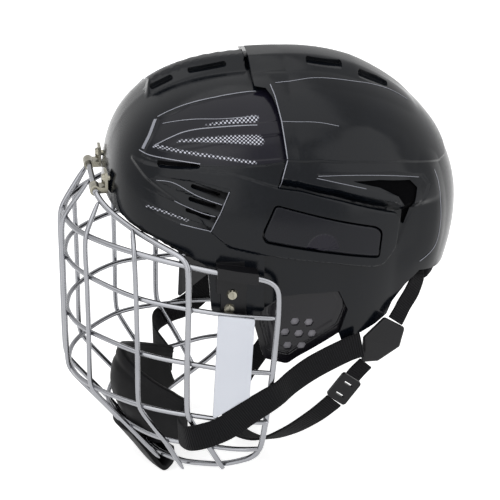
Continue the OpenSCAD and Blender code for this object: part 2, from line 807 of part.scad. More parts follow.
// The plan curve's place and outward direction at one distance from the middle.
function plan_y(plan, x) =
    let (c = plan_curve(plan))
    lookup(x, [for (i = [len(c) - 1:-1:0]) [c[i].x, c[i].y]]);
function plan_out(plan, x) =
    let (slope = (plan_y(plan, x + 1) - plan_y(plan, x - 1)) / 2)
    unit([slope, -1, 0]);
function on_bar(plan, x, z, out) = [x, plan_y(plan, x), z] + plan_out(plan, x) * out;

weld_gap = 2 * wire_r - weld;

// Half of an upright: from the brow, past the crossbars, to the chin.
function upright(top, xs, low) = [
    wide(top),
    on_bar(bar_plan, xs[0] * widen, bar_levels[0], wire_r + frame_r - weld),
    for (k = [1:3]) on_bar(bar_plan, xs[k] * widen, bar_levels[k], weld_gap),
    on_bar(low_plan, xs[4] * widen, low_bar_z, weld_gap),
    wide(low)
];

// A route with its corners rounded.
function rounded(route, r) = [
    route[0],
    for (i = [1:len(route) - 2])
        let (
            p = route[i],
            a = p + unit(route[i - 1] - p) * min(r, norm(route[i - 1] - p) / 2.2),
            b = p + unit(route[i + 1] - p) * min(r, norm(route[i + 1] - p) / 2.2)
        )
        each [for (t = [0:0.5:1]) a * (1 - t) * (1 - t) + p * 2 * t * (1 - t) + b * t * t],
    route[len(route) - 1]
];

upright_1 = upright([13.5, -hinge_y - 3, hinge_z + 1.9], [9, 9, 9.5, 10, 9.5], [9, -106, -188.5]);
upright_2 = upright([36.5, -135.5, 22.8], [42.5, 43.5, 43.8, 42.8, 42], [37, -95, -189]);
upright_3 = upright([65.5, -115, 13], [76.6, 76.9, 77, 76.6, 68], [60.5, -80.5, -186]);

module cage_uprights() {
    color(steel) both_sides() for (route = [upright_1, upright_2, upright_3])
        wire(rounded(route, 8), wire_r, [1, 0, 0]);
}

module cage_top_bar() {
    color(steel) translate([-top_bar_half, -hinge_y, hinge_z]) rotate([0, 90, 0])
        cylinder(r = frame_r, h = 2 * top_bar_half, $fn = 48);
}

// The brow wire runs back from the top bar and turns down at the temple.
brow_route = concat([[top_bar_half - 1, -hinge_y, hinge_z], [top_bar_half + 4.5, -134, 22]], wide_route([
    [48, -126.5, 17], [66, -112.5, 11], [80, -97.5, 5.5], [92.5, -80, -1], [95.5, -79.5, -14],
    [96, -80, -40], [96, -81.5, -83], [95, -82, -122], [87, -66.5, -151], [79, -53.5, -177.5]
]));

module cage_brow_frame() {
    color(steel) both_sides() wire(rounded(brow_route, 6), frame_r, [0.6, 0.8, 0.1]);
}

// The outer frame: the upper side wire, the wing and the ring under the chin, in one loop.
side_wire = [for (p = plan_curve(bar_plan)) if (p.x < 100.4 * widen) [p.x, p.y, bar_z(0, p.y)]];
wing_route = [
    [100.8, -27, -15.8], [101.6, -17, -22], [102, -17.5, -46], [101, -21.5, -91], [98.5, -25.5, -128],
    [93.5, -28, -152], [88, -31, -163], [82, -42, -170], [75, -56, -175.5], [57, -79, -181.5],
    [36, -94, -184.5], [18, -101, -186], [0, -103.5, -186.5]
];

module cage_outer_frame() {
    ring = rounded(wide_route(wing_route), 7);
    bar = [for (i = [len(side_wire) - 1:-1:0]) side_wire[i]];
    half = concat(bar, ring);
    color(steel) {
        wire(half_to_whole(half), frame_r, [0.35, 0.25, 0.9]);
    }
}

// Blank plate wired to the side of the cage, laid against the crossbars.
plate_x = 101.8 * widen;

module cage_plate_left() {
    color(pale) hull() {
        for (p = [[-58.5, -43], [-36, -45.5], [-39.5, -105], [-62.5, -121]])
            translate([plate_x + (p[0] + 48) * 0.166, p[0], p[1]]) rotate([0, 90, 0])
                cylinder(r = 1.4, h = 1.4, $fn = 16);
    }
}

module cage_plate_right() {
    mirror([1, 0, 0]) cage_plate_left();
}

flap_out = [[-93.5, -182], [-92.5, -192], [-96, -200], [-103, -203], [-114.8, -186.8], [-126, -171.8]];
flap_in = [[-97, -182], [-96.5, -192], [-98.5, -196.5], [-102.5, -197.5], [-112.8, -184.3], [-124, -170]];

// The soft cup behind the lower bars: full at the front, drawn up to a strap at each side.
module chin_cup() {
    half = 45 * widen;
    cols = 12;
    rows = 7;
    function top(u) = blend(-112, -138, pow(abs(u), 1.6));
    function low(u) = blend(-186, -168, pow(abs(u), 2));
    function front(u, v) = blend(-121, -78, pow(abs(u), 2.2))
        - 9 * sin(180 * pow(v, 0.9)) * (1 - 0.6 * abs(u)) + 24 * pow(v, 3) * (1 - abs(u));
    function row(v, t) = [
        for (i = [0:cols])
            let (u = 2 * i / cols - 1, rim = 1 - pow(abs(2 * v - 1), 4))
            [u * (half - t * 0.5), front(u, v) + t * (0.55 + 0.45 * rim), blend(top(u), low(u), v)]
    ];
    function flap_row(p) = [
        for (i = [0:8])
            let (u = i / 4 - 1)
            [u * 34 * widen, p[0] + 9.5 * u * u, p[1] + 1.2 * abs(u)]
    ];
    color(soft_black) {
        thick_sheet([for (j = [rows:-1:0]) row(j / rows, 0)], [for (j = [rows:-1:0]) row(j / rows, cup_t)]);
        // The flap that wraps forward under the ring and up over the ends of the bars.
        thick_sheet([for (p = flap_out) flap_row(p)], [for (p = flap_in) flap_row(p)]);
    }
}

// The wide strap from the connector, over the wing wire and round to the cup.
cage_strap_route = [
    [[87.8, 45.4, -78.6], [1, 0.3, 0.1]],
    [[89.9, 33, -81.5], [1, 0.1, 0]],
    [[92.8, 10, -91], [1, 0.1, 0]],
    [[96, -6, -100], [1, 0.3, 0]],
    [[102.8, -16.5, -104.8], [1, 0.3, 0]],
    [[104.7, -25, -109], [1, 0, 0]],
    [[104.4, -40, -118.5], [1, -0.2, 0]],
    [[101.5, -56, -131], [0.9, -0.4, -0.1]],
    [[100.6, -69.8, -136.2], [0.9, -0.6, 0]],
    [[96.3, -80.5, -140], [0.75, -0.7, 0]],
    [[86.5, -84.8, -142.2], [0.5, -0.9, 0]],
    [[74, -85.2, -143.5], [0.1, -1, 0]],
    [[60, -80.5, -148], [-0.1, -1, 0]],
    [[45, -76, -151], [-0.2, -1, 0]]
];

module cage_strap_left() {
    color(soft_black) ribbon(wide_stations(cage_strap_route), cage_strap_w, web_t);
}

module cage_strap_right() {
    mirror([1, 0, 0]) cage_strap_left();
}

front_shell();
forehead_pad();
crown_pad();
temple_pad_left();
temple_pad_right();
top_clip_left();
top_clip_right();
top_clip_screws();
j_clip_left();
j_clip_right();
j_clip_screws();
latch_base_left();
latch_base_right();
latch_pin_left();
latch_pin_right();
latch_lid_left();
latch_lid_right();
rear_shell();
occipital_pad();
rear_crown_pad();
side_pad_left();
side_pad_right();
ear_guard_left();
ear_guard_right();
rear_strap_left();
rear_strap_right();
strap_connector_left();
strap_connector_right();
hanger_left();
hanger_right();
strap_glide_left();
strap_glide_right();
chin_strap();
cage_top_bar();
cage_brow_frame();
cage_uprights();
cage_crossbars();
cage_outer_frame();
cage_plate_left();
cage_plate_right();
chin_cup();
cage_strap_left();
cage_strap_right();
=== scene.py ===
# %% [markdown]
# # An ice hockey helmet with a wire face cage
# The real helmet is two glossy moulded shells that slide in one another, a
# welded wire cage on two clips at the forehead, soft pads inside and woven
# straps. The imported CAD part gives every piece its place. This script gives the
# pieces their real surface: fine curved shells, round wires, webbing and foam.

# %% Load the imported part
import math
import bpy
import numpy as np
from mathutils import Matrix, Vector


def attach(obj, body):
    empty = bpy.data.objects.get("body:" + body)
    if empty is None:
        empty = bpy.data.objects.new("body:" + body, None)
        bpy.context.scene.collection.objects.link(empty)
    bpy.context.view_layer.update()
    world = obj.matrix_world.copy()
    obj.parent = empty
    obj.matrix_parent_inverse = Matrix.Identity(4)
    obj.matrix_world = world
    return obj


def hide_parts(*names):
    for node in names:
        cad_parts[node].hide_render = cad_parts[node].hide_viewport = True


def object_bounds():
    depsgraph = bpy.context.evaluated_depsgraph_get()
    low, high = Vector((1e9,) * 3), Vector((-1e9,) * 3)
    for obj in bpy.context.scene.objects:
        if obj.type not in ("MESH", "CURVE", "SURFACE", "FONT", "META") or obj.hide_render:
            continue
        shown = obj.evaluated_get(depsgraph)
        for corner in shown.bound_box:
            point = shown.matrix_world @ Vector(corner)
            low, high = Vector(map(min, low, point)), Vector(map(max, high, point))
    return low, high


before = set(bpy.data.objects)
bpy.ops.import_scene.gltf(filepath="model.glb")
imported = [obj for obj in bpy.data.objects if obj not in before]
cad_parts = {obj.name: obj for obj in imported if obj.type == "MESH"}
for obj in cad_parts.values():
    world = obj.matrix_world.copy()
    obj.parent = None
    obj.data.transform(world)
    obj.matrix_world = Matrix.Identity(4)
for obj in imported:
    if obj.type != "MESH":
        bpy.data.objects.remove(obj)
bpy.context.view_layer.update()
bpy.ops.object.select_all(action="DESELECT")
print("CAD nodes:", len(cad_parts))

# %% [markdown]
# ## Camera
# The photograph looks at the helmet's left side from a little above. A camera
# 1.8 m away with a long lens gives the same flat perspective. Its place is
# worked out from the two angles, and it looks straight at the target. The
# picture's half width and the focal length are in pixels of the photograph.

# %% Place the camera
target = Vector((0, -0.022, -0.040))
distance = 1.8
half_picture, focal_length = 250, 2448
turn, rise = math.radians(81.3), math.radians(25.0)
away = Vector((math.sin(turn) * math.cos(rise), -math.cos(turn) * math.cos(rise), math.sin(rise)))
bpy.ops.object.camera_add(location=target + away * distance)
camera = bpy.context.object
camera.name = "photo_camera"
camera.rotation_euler = away.to_track_quat("Z", "Y").to_euler()
camera.data.sensor_fit = "HORIZONTAL"
camera.data.angle = 2 * math.atan(half_picture / focal_length)
bpy.context.scene.camera = camera
print("camera at", [round(v, 3) for v in camera.location])

# %% [markdown]
# ## Colour and node helpers
# Colours are written as the hex values seen on a screen. Blender mixes light in
# linear values, so one function turns the one into the other. A second small
# function adds a node, sets its options and links its inputs. A sine wave of a
# given pitch makes both the dots of painted highlight and the weave.

# %% Define the colour and node helpers
def linear(code):
    parts = [int(code[i:i + 2], 16) / 255 for i in (1, 3, 5)]
    return [c / 12.92 if c <= 0.04045 else ((c + 0.055) / 1.055) ** 2.4 for c in parts] + [1.0]


def add(tree, kind, inputs=None, **options):
    made = tree.nodes.new(kind)
    for name, value in options.items():
        setattr(made, name, value)
    for name, value in (inputs or {}).items():
        socket = made.inputs[name]
        if isinstance(value, bpy.types.NodeSocket):
            tree.links.new(value, socket)
        else:
            socket.default_value = value
    return made


def sine_wave(tree, along, pitch):
    turns = add(tree, "ShaderNodeMath", {0: along, 1: 2 * math.pi / pitch}, operation="MULTIPLY")
    return add(tree, "ShaderNodeMath", {0: turns.outputs["Value"]}, operation="SINE").outputs["Value"]


def start_material(name, colour, roughness, metallic=0.0, **constants):
    made = bpy.data.materials.new(name)
    made.use_nodes = True
    shader = made.node_tree.nodes["Principled BSDF"]
    shader.inputs["Base Color"].default_value = linear(colour)
    shader.inputs["Roughness"].default_value = roughness
    shader.inputs["Metallic"].default_value = metallic
    for key, value in constants.items():
        shader.inputs[key.replace("_", " ")].default_value = value
    return made, made.node_tree, shader

# %% [markdown]
# ## Moulded shell plastic
# The shells are injection moulded ABS, polished black. The eye sees a deep
# black with a sharp reflection, a faint waviness left by the mould, and wipe
# marks that change the gloss a little. Three more marks are painted on it, and
# a vector attribute says where: x is a dot pattern painted pale as highlights,
# y a violet tint, partly painted sheen in the side facet and wholly painted sheen
# on the lids, z the matt grain under a louvre, whose dark colour is painted shade.
# The marks could be an image, but an attribute on the points needs no file and
# no seams.

# %% Make the shell plastic
def moulded_abs_gloss():
    made, tree, shader = start_material("moulded_abs_gloss_black", "#08080a", 0.2, IOR=1.53,
                                        Specular_IOR_Level=0.18)
    place = add(tree, "ShaderNodeTexCoord").outputs["Object"]
    # Smudges about 25 mm wide and wipe marks 2 mm apart.
    smudge = add(tree, "ShaderNodeTexNoise", {"Vector": place, "Scale": 40.0, "Detail": 4.0, "Roughness": 0.6})
    smudge = smudge.outputs["Fac"]
    wipe = add(tree, "ShaderNodeTexNoise", {"Vector": place, "Scale": 500.0, "Detail": 2.0}).outputs["Fac"]
    marks = add(tree, "ShaderNodeMath", {0: smudge, 1: wipe}, operation="MULTIPLY").outputs["Value"]
    gloss = add(tree, "ShaderNodeMapRange", {"Value": marks, "From Min": 0.15, "From Max": 0.4,
                                             "To Min": 0.14, "To Max": 0.26})
    film = add(tree, "ShaderNodeAttribute", attribute_name="film")
    film = add(tree, "ShaderNodeSeparateXYZ", {"Vector": film.outputs["Vector"]})
    # Dots of painted highlight stand in staggered rows, 2.9 mm apart along the shell and 2.2 mm across.
    at = add(tree, "ShaderNodeSeparateXYZ", {"Vector": place})
    along, across = sine_wave(tree, at.outputs["Y"], 0.0029), sine_wave(tree, at.outputs["Z"], 0.0022)
    dots = add(tree, "ShaderNodeMath", {0: along, 1: across}, operation="MULTIPLY")
    dots = add(tree, "ShaderNodeMapRange", {"Value": dots.outputs["Value"], "From Min": 0.05, "From Max": 0.3})
    # Painted highlight: the dots are painted a pale silver grey.
    dot_highlights = add(tree, "ShaderNodeMath", {0: dots.outputs["Result"], 1: film.outputs["X"]}, operation="MULTIPLY")
    colour = linear("#070a0e")
    # Over the black come the smudges, the violet tint with its painted sheen, the painted shade under the louvres
    # and the dots of painted highlight.
    for share, code in ((smudge, "#0c0f15"), (film.outputs["Y"], "#16141f"), (film.outputs["Z"], "#020203"),
                        (dot_highlights.outputs["Value"], "#c9cbd6")):
        colour = add(tree, "ShaderNodeMix", {0: share, 6: colour, 7: linear(code)}, data_type="RGBA").outputs[2]
    tree.links.new(colour, shader.inputs["Base Color"])
    # The louvres' zone of painted shade is rougher too.
    matt_and_shade = add(tree, "ShaderNodeMath", {0: film.outputs["Z"], 1: 0.7, 2: gloss.outputs["Result"]},
               operation="MULTIPLY_ADD")
    tree.links.new(matt_and_shade.outputs["Value"], shader.inputs["Roughness"])
    edge = add(tree, "ShaderNodeBevel", {"Radius": 0.0005}, samples=4)
    wave = add(tree, "ShaderNodeTexNoise", {"Vector": place, "Scale": 90.0, "Detail": 1.0})
    bump = add(tree, "ShaderNodeBump", {"Strength": 0.04, "Distance": 0.0004, "Height": wave.outputs["Fac"],
                                        "Normal": edge.outputs["Normal"]})
    tree.links.new(bump.outputs["Normal"], shader.inputs["Normal"])
    return made


shell_plastic = moulded_abs_gloss()
print("made", shell_plastic.name)

# %% [markdown]
# ## Moulded nylon, smoked sheet and foam
# Clips, connectors and glides are moulded nylon: black, satin, with a fine
# spark-eroded grain. The ear guards are smoked polycarbonate, darker and
# glossy. The pads are closed cell foam with a skin of small cells. Pale grey
# lines along the edges of the shell's panels are painted highlights. They
# differ in colour, gloss and grain only, so one function makes them all.

# %% Make the satin plastics and the foam
def grained(name, low, high, roughness, grain_mm, depth_mm, edge_mm=0.4, **constants):
    made, tree, shader = start_material(name, low, roughness, **constants)
    place = add(tree, "ShaderNodeTexCoord").outputs["Object"]
    # The grain is drawn four times as coarse as the real one, or it wouldn't show.
    grain = add(tree, "ShaderNodeTexNoise", {"Vector": place, "Scale": 1000 / grain_mm / 4, "Detail": 3.0})
    grain = grain.outputs["Fac"]
    broad = add(tree, "ShaderNodeTexNoise", {"Vector": place, "Scale": 35.0, "Detail": 3.0}).outputs["Fac"]
    base = add(tree, "ShaderNodeMix", {0: broad, 6: linear(low), 7: linear(high)}, data_type="RGBA")
    tree.links.new(base.outputs[2], shader.inputs["Base Color"])
    gloss = add(tree, "ShaderNodeMapRange", {"Value": grain, "To Min": roughness - 0.08, "To Max": roughness + 0.08})
    tree.links.new(gloss.outputs["Result"], shader.inputs["Roughness"])
    edge = add(tree, "ShaderNodeBevel", {"Radius": edge_mm / 1000}, samples=4)
    bump = add(tree, "ShaderNodeBump", {"Strength": 0.5, "Distance": depth_mm / 1000, "Height": grain,
                                        "Normal": edge.outputs["Normal"]})
    tree.links.new(bump.outputs["Normal"], shader.inputs["Normal"])
    return made


nylon = grained("moulded_nylon_black", "#09090b", "#101013", 0.36, 0.5, 0.04, Specular_IOR_Level=0.22)
smoked = grained("moulded_polycarbonate_smoked", "#0e0d11", "#151419", 0.24, 2.0, 0.02, IOR=1.58,
                 Specular_IOR_Level=0.22)
foam = grained("vinyl_nitrile_foam_black", "#0b0b0d", "#131316", 0.85, 0.8, 0.25, 1.5,
               Specular_IOR_Level=0.1)
cup_vinyl = grained("dipped_vinyl_cup_black", "#09090b", "#101012", 0.5, 1.2, 0.12, 1.0,
                    Specular_IOR_Level=0.14)
# Painted highlights: pale grey lines laid along the shell's panel edges stand in for the light their edges catch.
painted_highlight_edge = grained("buffed_abs_edge_grey", "#74767f", "#a2a4ae", 0.22, 2.0, 0.02)
# Painted shade: a near black, matt sheet under the bent vent stands in for the shade inside it.
painted_shade_black = grained("flocked_felt_black", "#020203", "#060607", 0.9, 0.6, 0.1, Specular_IOR_Level=0.03)
grey_backing = grained("woven_polyester_gauze_grey", "#8b898f", "#99979d", 0.8, 0.8, 0.2, Specular_IOR_Level=0.1)
sheet_pale = grained("polypropylene_sheet_pale", "#cdd1da", "#d6d9e1", 0.4, 3.0, 0.03)

# %% [markdown]
# The cage's side plates are pale. Their inner faces are painted with shade: a
# second material on them would do, but the plates are CAD pieces with one slot
# each, so the shader itself turns near black where a face looks at the middle
# of the helmet.

# %% Paint shade on the inner faces of the pale sheet
def add_painted_shade_inside(made):
    tree = made.node_tree
    shader = tree.nodes["Principled BSDF"]
    pale = shader.inputs["Base Color"].links[0].from_socket
    where = add(tree, "ShaderNodeTexCoord")
    facing = add(tree, "ShaderNodeSeparateXYZ", {"Vector": where.outputs["Normal"]}).outputs["X"]
    side = add(tree, "ShaderNodeSeparateXYZ", {"Vector": where.outputs["Object"]}).outputs["X"]
    outward = add(tree, "ShaderNodeMath", {0: facing, 1: side}, operation="MULTIPLY").outputs["Value"]
    outer = add(tree, "ShaderNodeMath", {0: outward, 1: -0.02}, operation="GREATER_THAN").outputs["Value"]
    # Painted shade: faces that look at the middle of the helmet turn near black.
    base = add(tree, "ShaderNodeMix", {0: outer, 6: linear("#101013"), 7: pale}, data_type="RGBA")
    tree.links.new(base.outputs[2], shader.inputs["Base Color"])


add_painted_shade_inside(sheet_pale)
print(len(bpy.data.materials), "materials with the plastics, the felt and the gauze")

# %% [markdown]
# ## Plated metals
# The cage is steel wire with a satin nickel-chrome plate: bright, a little
# blurred, with faint drawing lines along it. The clips and screws are zinc
# plated steel, whose colour drifts between straw and green-grey. A soft noise
# moves both colour and roughness, as a plating bath leaves them.

# %% Make the plated metals
def plated(name, low, high, roughness, cloud_mm):
    made, tree, shader = start_material(name, low, roughness, 1.0)
    place = add(tree, "ShaderNodeTexCoord").outputs["Object"]
    cloud = add(tree, "ShaderNodeTexNoise", {"Vector": place, "Scale": 1000 / cloud_mm, "Detail": 2.0})
    cloud = cloud.outputs["Fac"]
    base = add(tree, "ShaderNodeMix", {0: cloud, 6: linear(low), 7: linear(high)}, data_type="RGBA")
    tree.links.new(base.outputs[2], shader.inputs["Base Color"])
    gloss = add(tree, "ShaderNodeMapRange", {"Value": cloud, "To Min": roughness - 0.06,
                                             "To Max": roughness + 0.06})
    tree.links.new(gloss.outputs["Result"], shader.inputs["Roughness"])
    return made


wire_plate = plated("drawn_steel_wire_nickel_chrome_plate", "#838488", "#9b9ca0", 0.22, 25)
zinc = plated("pressed_steel_zinc_plate", "#5f5d54", "#aaa697", 0.26, 5)
bare_steel = plated("ground_steel_pin", "#85878b", "#a5a7ab", 0.3, 5)
print("made", wire_plate.name, zinc.name, bare_steel.name)

# %% [markdown]
# ## Woven webbing
# The straps are ribbed polyester webbing. Ribs cross the strap every 1.7 mm and
# thin warp yarns, 0.8 mm apart, run along it. Modelled ribs would cost many
# thousand faces, so two sine waves make the weave, as bumps and as painted shade
# in the grooves. Each strap carries its own UV map in metres, so the same weave
# fits straps of any length.

# %% Make the webbing
def webbing_material():
    made, tree, shader = start_material("woven_polyester_webbing_black", "#0b0b0d", 0.85, Sheen_Weight=0.06,
                                        Sheen_Roughness=0.5, Specular_IOR_Level=0.12)
    uv = add(tree, "ShaderNodeTexCoord").outputs["UV"]
    split = add(tree, "ShaderNodeSeparateXYZ", {"Vector": uv})
    rib, yarn = sine_wave(tree, split.outputs["X"], 0.0017), sine_wave(tree, split.outputs["Y"], 0.0008)
    woven = add(tree, "ShaderNodeMath", {0: yarn, 1: 0.35, 2: rib}, operation="MULTIPLY_ADD")
    fuzz = add(tree, "ShaderNodeTexNoise", {"Vector": uv, "Scale": 1500.0, "Detail": 2.0})
    height = add(tree, "ShaderNodeMath", {0: fuzz.outputs["Fac"], 1: 0.5, 2: woven.outputs["Value"]},
                 operation="MULTIPLY_ADD")
    # Painted shade: the weave's grooves are darker and its rib tops lighter, with a random fuzz tone over them.
    weave_tone_and_shade = add(tree, "ShaderNodeMapRange", {"Value": height.outputs["Value"], "From Min": -0.8, "From Max": 1.6})
    base = add(tree, "ShaderNodeMix", {0: weave_tone_and_shade.outputs["Result"], 6: linear("#040405"), 7: linear("#17171a")},
               data_type="RGBA")
    tree.links.new(base.outputs[2], shader.inputs["Base Color"])
    bump = add(tree, "ShaderNodeBump", {"Strength": 0.6, "Distance": 0.0003, "Height": height.outputs["Value"]})
    tree.links.new(bump.outputs["Normal"], shader.inputs["Normal"])
    return made


webbing = webbing_material()
print("made", webbing.name)

# %% [markdown]
# ## Working on a piece
# Blender works in metres, but the sizes of a helmet are easier to read in
# millimetres. A few small helpers read and write a piece's points in those,
# pick faces by a rule, run modifiers and hand a finished piece over.

# %% Define the modelling helpers
MM = 0.001
bpy.context.scene.tool_settings.mesh_select_mode = (False, False, True)


def get_points(piece):
    flat = np.empty(len(piece.data.vertices) * 3)
    piece.data.vertices.foreach_get("co", flat)
    return flat.reshape(-1, 3) / MM


def set_points(piece, points):
    piece.data.vertices.foreach_set("co", (np.asarray(points, float) * MM).ravel())
    piece.data.update()


def get_centres(piece):
    flat = np.empty(len(piece.data.polygons) * 3)
    piece.data.polygons.foreach_get("center", flat)
    return flat.reshape(-1, 3) / MM


def pick_faces(piece, mask):
    for kind, size in (("vertices", len(piece.data.vertices)), ("edges", len(piece.data.edges))):
        getattr(piece.data, kind).foreach_set("select", np.zeros(size, bool))
    piece.data.polygons.foreach_set("select", np.asarray(mask, bool))


def alone(piece):
    bpy.ops.object.select_all(action="DESELECT")
    piece.select_set(True)
    bpy.context.view_layer.objects.active = piece


def apply_modifier(piece, kind, **options):
    alone(piece)
    made = piece.modifiers.new(kind.lower(), kind)
    for name, value in options.items():
        setattr(made, name, value)
    bpy.ops.object.modifier_apply(modifier=made.name)


def finish_piece(piece, name, material, body, replaces=(), smooth=35):
    piece.name = name
    piece.data.name = name
    piece.data.materials.clear()
    piece.data.materials.append(material)
    alone(piece)
    bpy.ops.object.shade_smooth_by_angle(angle=math.radians(smooth))
    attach(piece, body)
    if replaces:
        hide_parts(*replaces)
    bpy.ops.object.select_all(action="DESELECT")
    print(name, len(piece.data.polygons), "faces")


def copy_of(piece):
    made = piece.copy()
    made.data = piece.data.copy()
    bpy.context.collection.objects.link(made)
    return made


def merged_copy(node):
    made = copy_of(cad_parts[node])
    alone(made)
    bpy.ops.object.mode_set(mode="EDIT")
    bpy.ops.mesh.select_all(action="SELECT")
    bpy.ops.mesh.remove_doubles(threshold=0.02 * MM)
    bpy.ops.object.mode_set(mode="OBJECT")
    return made

# %% [markdown]
# ## The head form
# Both shells follow one rounded form: a box whose corners soften from front to
# back. It could be sculpted, but a formula gives both shells and their pads the
# same form. A ball is the start, and each of its points is moved along its own
# direction to the form. What is moulded on a shell is a height over the form.

# %% Define the head form and its outlines
def ease(t):
    s = np.clip(t, 0, 1)
    return s * s * (3 - 2 * s)


half_width, front_reach, rear_reach, crown_z = 97.0, 129.0, 125.5, 107.0
skirt_depth, skirt_lift = 250, 135


def unit(points):
    return points / np.linalg.norm(points, axis=1)[:, None]


def lon_lat(units):
    lon = np.degrees(np.arctan2(np.abs(units[:, 0]), -units[:, 1]))
    return lon, np.degrees(np.arcsin(np.clip(units[:, 2], -1, 1)))


def form_radius(units):
    lon = lon_lat(units)[0]
    # The power falls from 3 at the front to 2.1 at the side and 2 at the back.
    power = np.where(lon < 90, 3 - 0.9 * lon / 90, 2.1 - 0.1 * (lon - 90) / 90)
    reach = np.where(lon < 90, front_reach, rear_reach)
    skirt = skirt_depth - skirt_lift * ease((lon - 110) / 70)
    depth = np.where(units[:, 2] > 0, crown_z, skirt)
    total = np.abs(units[:, 0] / half_width) ** power + np.abs(units[:, 1] / reach) ** power
    total = total + np.abs(units[:, 2] / depth) ** power
    return total ** (-1 / power)


def under_form(drop):
    return lambda units: units * (form_radius(units) - drop)[:, None]


bare_form = under_form(0.0)


def near_segment(p, q, r):
    e = r - q
    t = np.clip(((p - q) @ e) / (e @ e), 0, 1)
    return np.linalg.norm(p - q - t[:, None] * e, axis=1)


def depth_inside(outline, points):
    p = points[:, 1:]
    a = np.array(outline, float)
    near = np.full(len(p), 1e9)
    inside = np.zeros(len(p), bool)
    for q, r in zip(a, np.roll(a, -1, 0)):
        near = np.minimum(near, near_segment(p, q, r))
        crosses = (q[1] > p[:, 1]) != (r[1] > p[:, 1])
        at = q[0] + (p[:, 1] - q[1]) / ((r[1] - q[1]) or 1e-9) * (r[0] - q[0])
        inside ^= crosses & (p[:, 0] < at)
    return np.where(inside, near, -near)


def near_edges(outlines, points):
    return [np.abs(depth_inside(outline, points)) for outline in outlines]


def near_line(line, points):
    p = np.column_stack([np.abs(points[:, 0]), points[:, 1:]])
    a = np.array(line, float)
    return np.min([near_segment(p, q, r) for q, r in zip(a[:-1], a[1:])], axis=0)


def rounded(outline, r, steps=4):
    made = []
    a = np.array(outline, float)
    for before, here, after in zip(np.roll(a, 1, 0), a, np.roll(a, -1, 0)):
        u, v = before - here, after - here
        s = here + u / np.linalg.norm(u) * min(r, np.linalg.norm(u) / 2.3)
        e = here + v / np.linalg.norm(v) * min(r, np.linalg.norm(v) / 2.3)
        for t in np.linspace(0, 1, steps + 1):
            made.append(tuple(s * (1 - t) ** 2 + here * 2 * t * (1 - t) + e * t * t))
    return made


def slot_outline(a, b, r, steps=10):
    a, b = np.array(a, float), np.array(b, float)
    along = math.atan2(*(b - a)[::-1])
    made = []
    for centre, start in ((b, -90), (a, 90)):
        for k in range(steps + 1):
            t = along + math.radians(start + 180 * k / steps)
            made.append((centre[0] + r * math.cos(t), centre[1] + r * math.sin(t)))
    return made

# %% [markdown]
# ## Cutting tools
# A shell's outline, its air slots and the windows for its lids are cut sideways,
# as the side slides of a mould would form them. A cutting tool is a flat
# outline, drawn from a circle's points, and pushed along X to a solid. An exact
# boolean then leaves the crisp edges that a mould leaves.

# %% Define the cutting tool and the cut
through = 135
beyond = 140


def cutter(outline, x0=-through, x1=through):
    bpy.ops.mesh.primitive_circle_add(vertices=len(outline), radius=1, fill_type="NGON")
    made = bpy.context.object
    set_points(made, [(x0, y, z) for y, z in outline])
    bpy.ops.object.mode_set(mode="EDIT")
    bpy.ops.mesh.select_all(action="SELECT")
    bpy.ops.mesh.extrude_region_move(TRANSFORM_OT_translate={"value": ((x1 - x0) * MM, 0, 0)})
    bpy.ops.mesh.select_all(action="SELECT")
    bpy.ops.mesh.normals_make_consistent(inside=False)
    bpy.ops.object.mode_set(mode="OBJECT")
    return made


def both_sides(outline, x0, x1):
    return [cutter(outline, x0, x1), cutter(outline, -x1, -x0)]


def joined(parts):
    bpy.ops.object.select_all(action="DESELECT")
    for part in parts:
        part.select_set(True)
    bpy.context.view_layer.objects.active = parts[0]
    if len(parts) > 1:
        bpy.ops.object.join()
    return parts[0]


def cut(piece, tools, operation):
    tool = joined(tools)
    apply_modifier(piece, "BOOLEAN", object=tool, operation=operation, solver="EXACT")
    bpy.data.objects.remove(tool)

# %% [markdown]
# ## A moulded sheet
# Every shell piece is made the same way. The outer face is a ball split more
# finely where the piece lies, and most finely along its edges and steps. The
# side outline is cut from it, a plainer ball takes out the inside, and the
# holes come last. A grid of one fineness would need ten times the faces. How
# far past the outline each split reaches is given in millimetres.

# %% Define the moulded sheet
wide, middle, narrow, rim = 14, 8, 4, 2
feature_reach, crisp_reach = 5.0, 1.4
left_start = 25


def ball_face(level, place, split_rules):
    bpy.ops.mesh.primitive_ico_sphere_add(subdivisions=level, radius=1)
    face = bpy.context.object
    for rule in split_rules:
        set_points(face, bare_form(unit(get_points(face))))
        pick_faces(face, rule(get_centres(face)))
        bpy.ops.object.mode_set(mode="EDIT")
        bpy.ops.mesh.subdivide(number_cuts=1)
        bpy.ops.object.mode_set(mode="OBJECT")
    set_points(face, place(unit(get_points(face))))
    return face


def moulded_sheet(outlines, outer, inner, features, holes, left_only=False, fine=2, crisp=None):
    x0 = left_start if left_only else -beyond

    def within(c, reach):
        depth = np.max([depth_inside(outline, c) for outline in outlines], axis=0)
        return (depth > -reach) & ((c[:, 0] > 0) if left_only else True)

    rules = [lambda c: within(c, wide), lambda c: within(c, middle)]
    rules += [lambda c, k=k: within(c, narrow) & (features(c) < feature_reach / k) for k in range(1, fine)]
    if crisp:
        rules.append(lambda c: within(c, rim) & (crisp(c) < crisp_reach))
    piece = ball_face(5, outer, rules)
    stencil = cutter(outlines[0], x0, beyond)
    for more in outlines[1:]:
        cut(stencil, [cutter(more, x0, beyond)], "UNION")
    cut(piece, [stencil], "INTERSECT")
    cut(piece, [ball_face(6, inner, [])], "DIFFERENCE")
    if holes:
        cut(piece, holes, "DIFFERENCE")
    return piece

# %% [markdown]
# ## Bands and twins
# A band is a flat strip that twists along its way: a strap, or a painted
# highlight line on a shell. It starts as a grid: its long side follows a smooth
# curve through listed stations, its short side lies across. Solidify gives it a
# thickness, a bevel softens its edges, and the grid's own UV map, scaled to
# metres, carries a weave. A twin is a piece's mirror image on the other side. It
# is a copy with its own mesh, because a mirror modifier would join both sides.

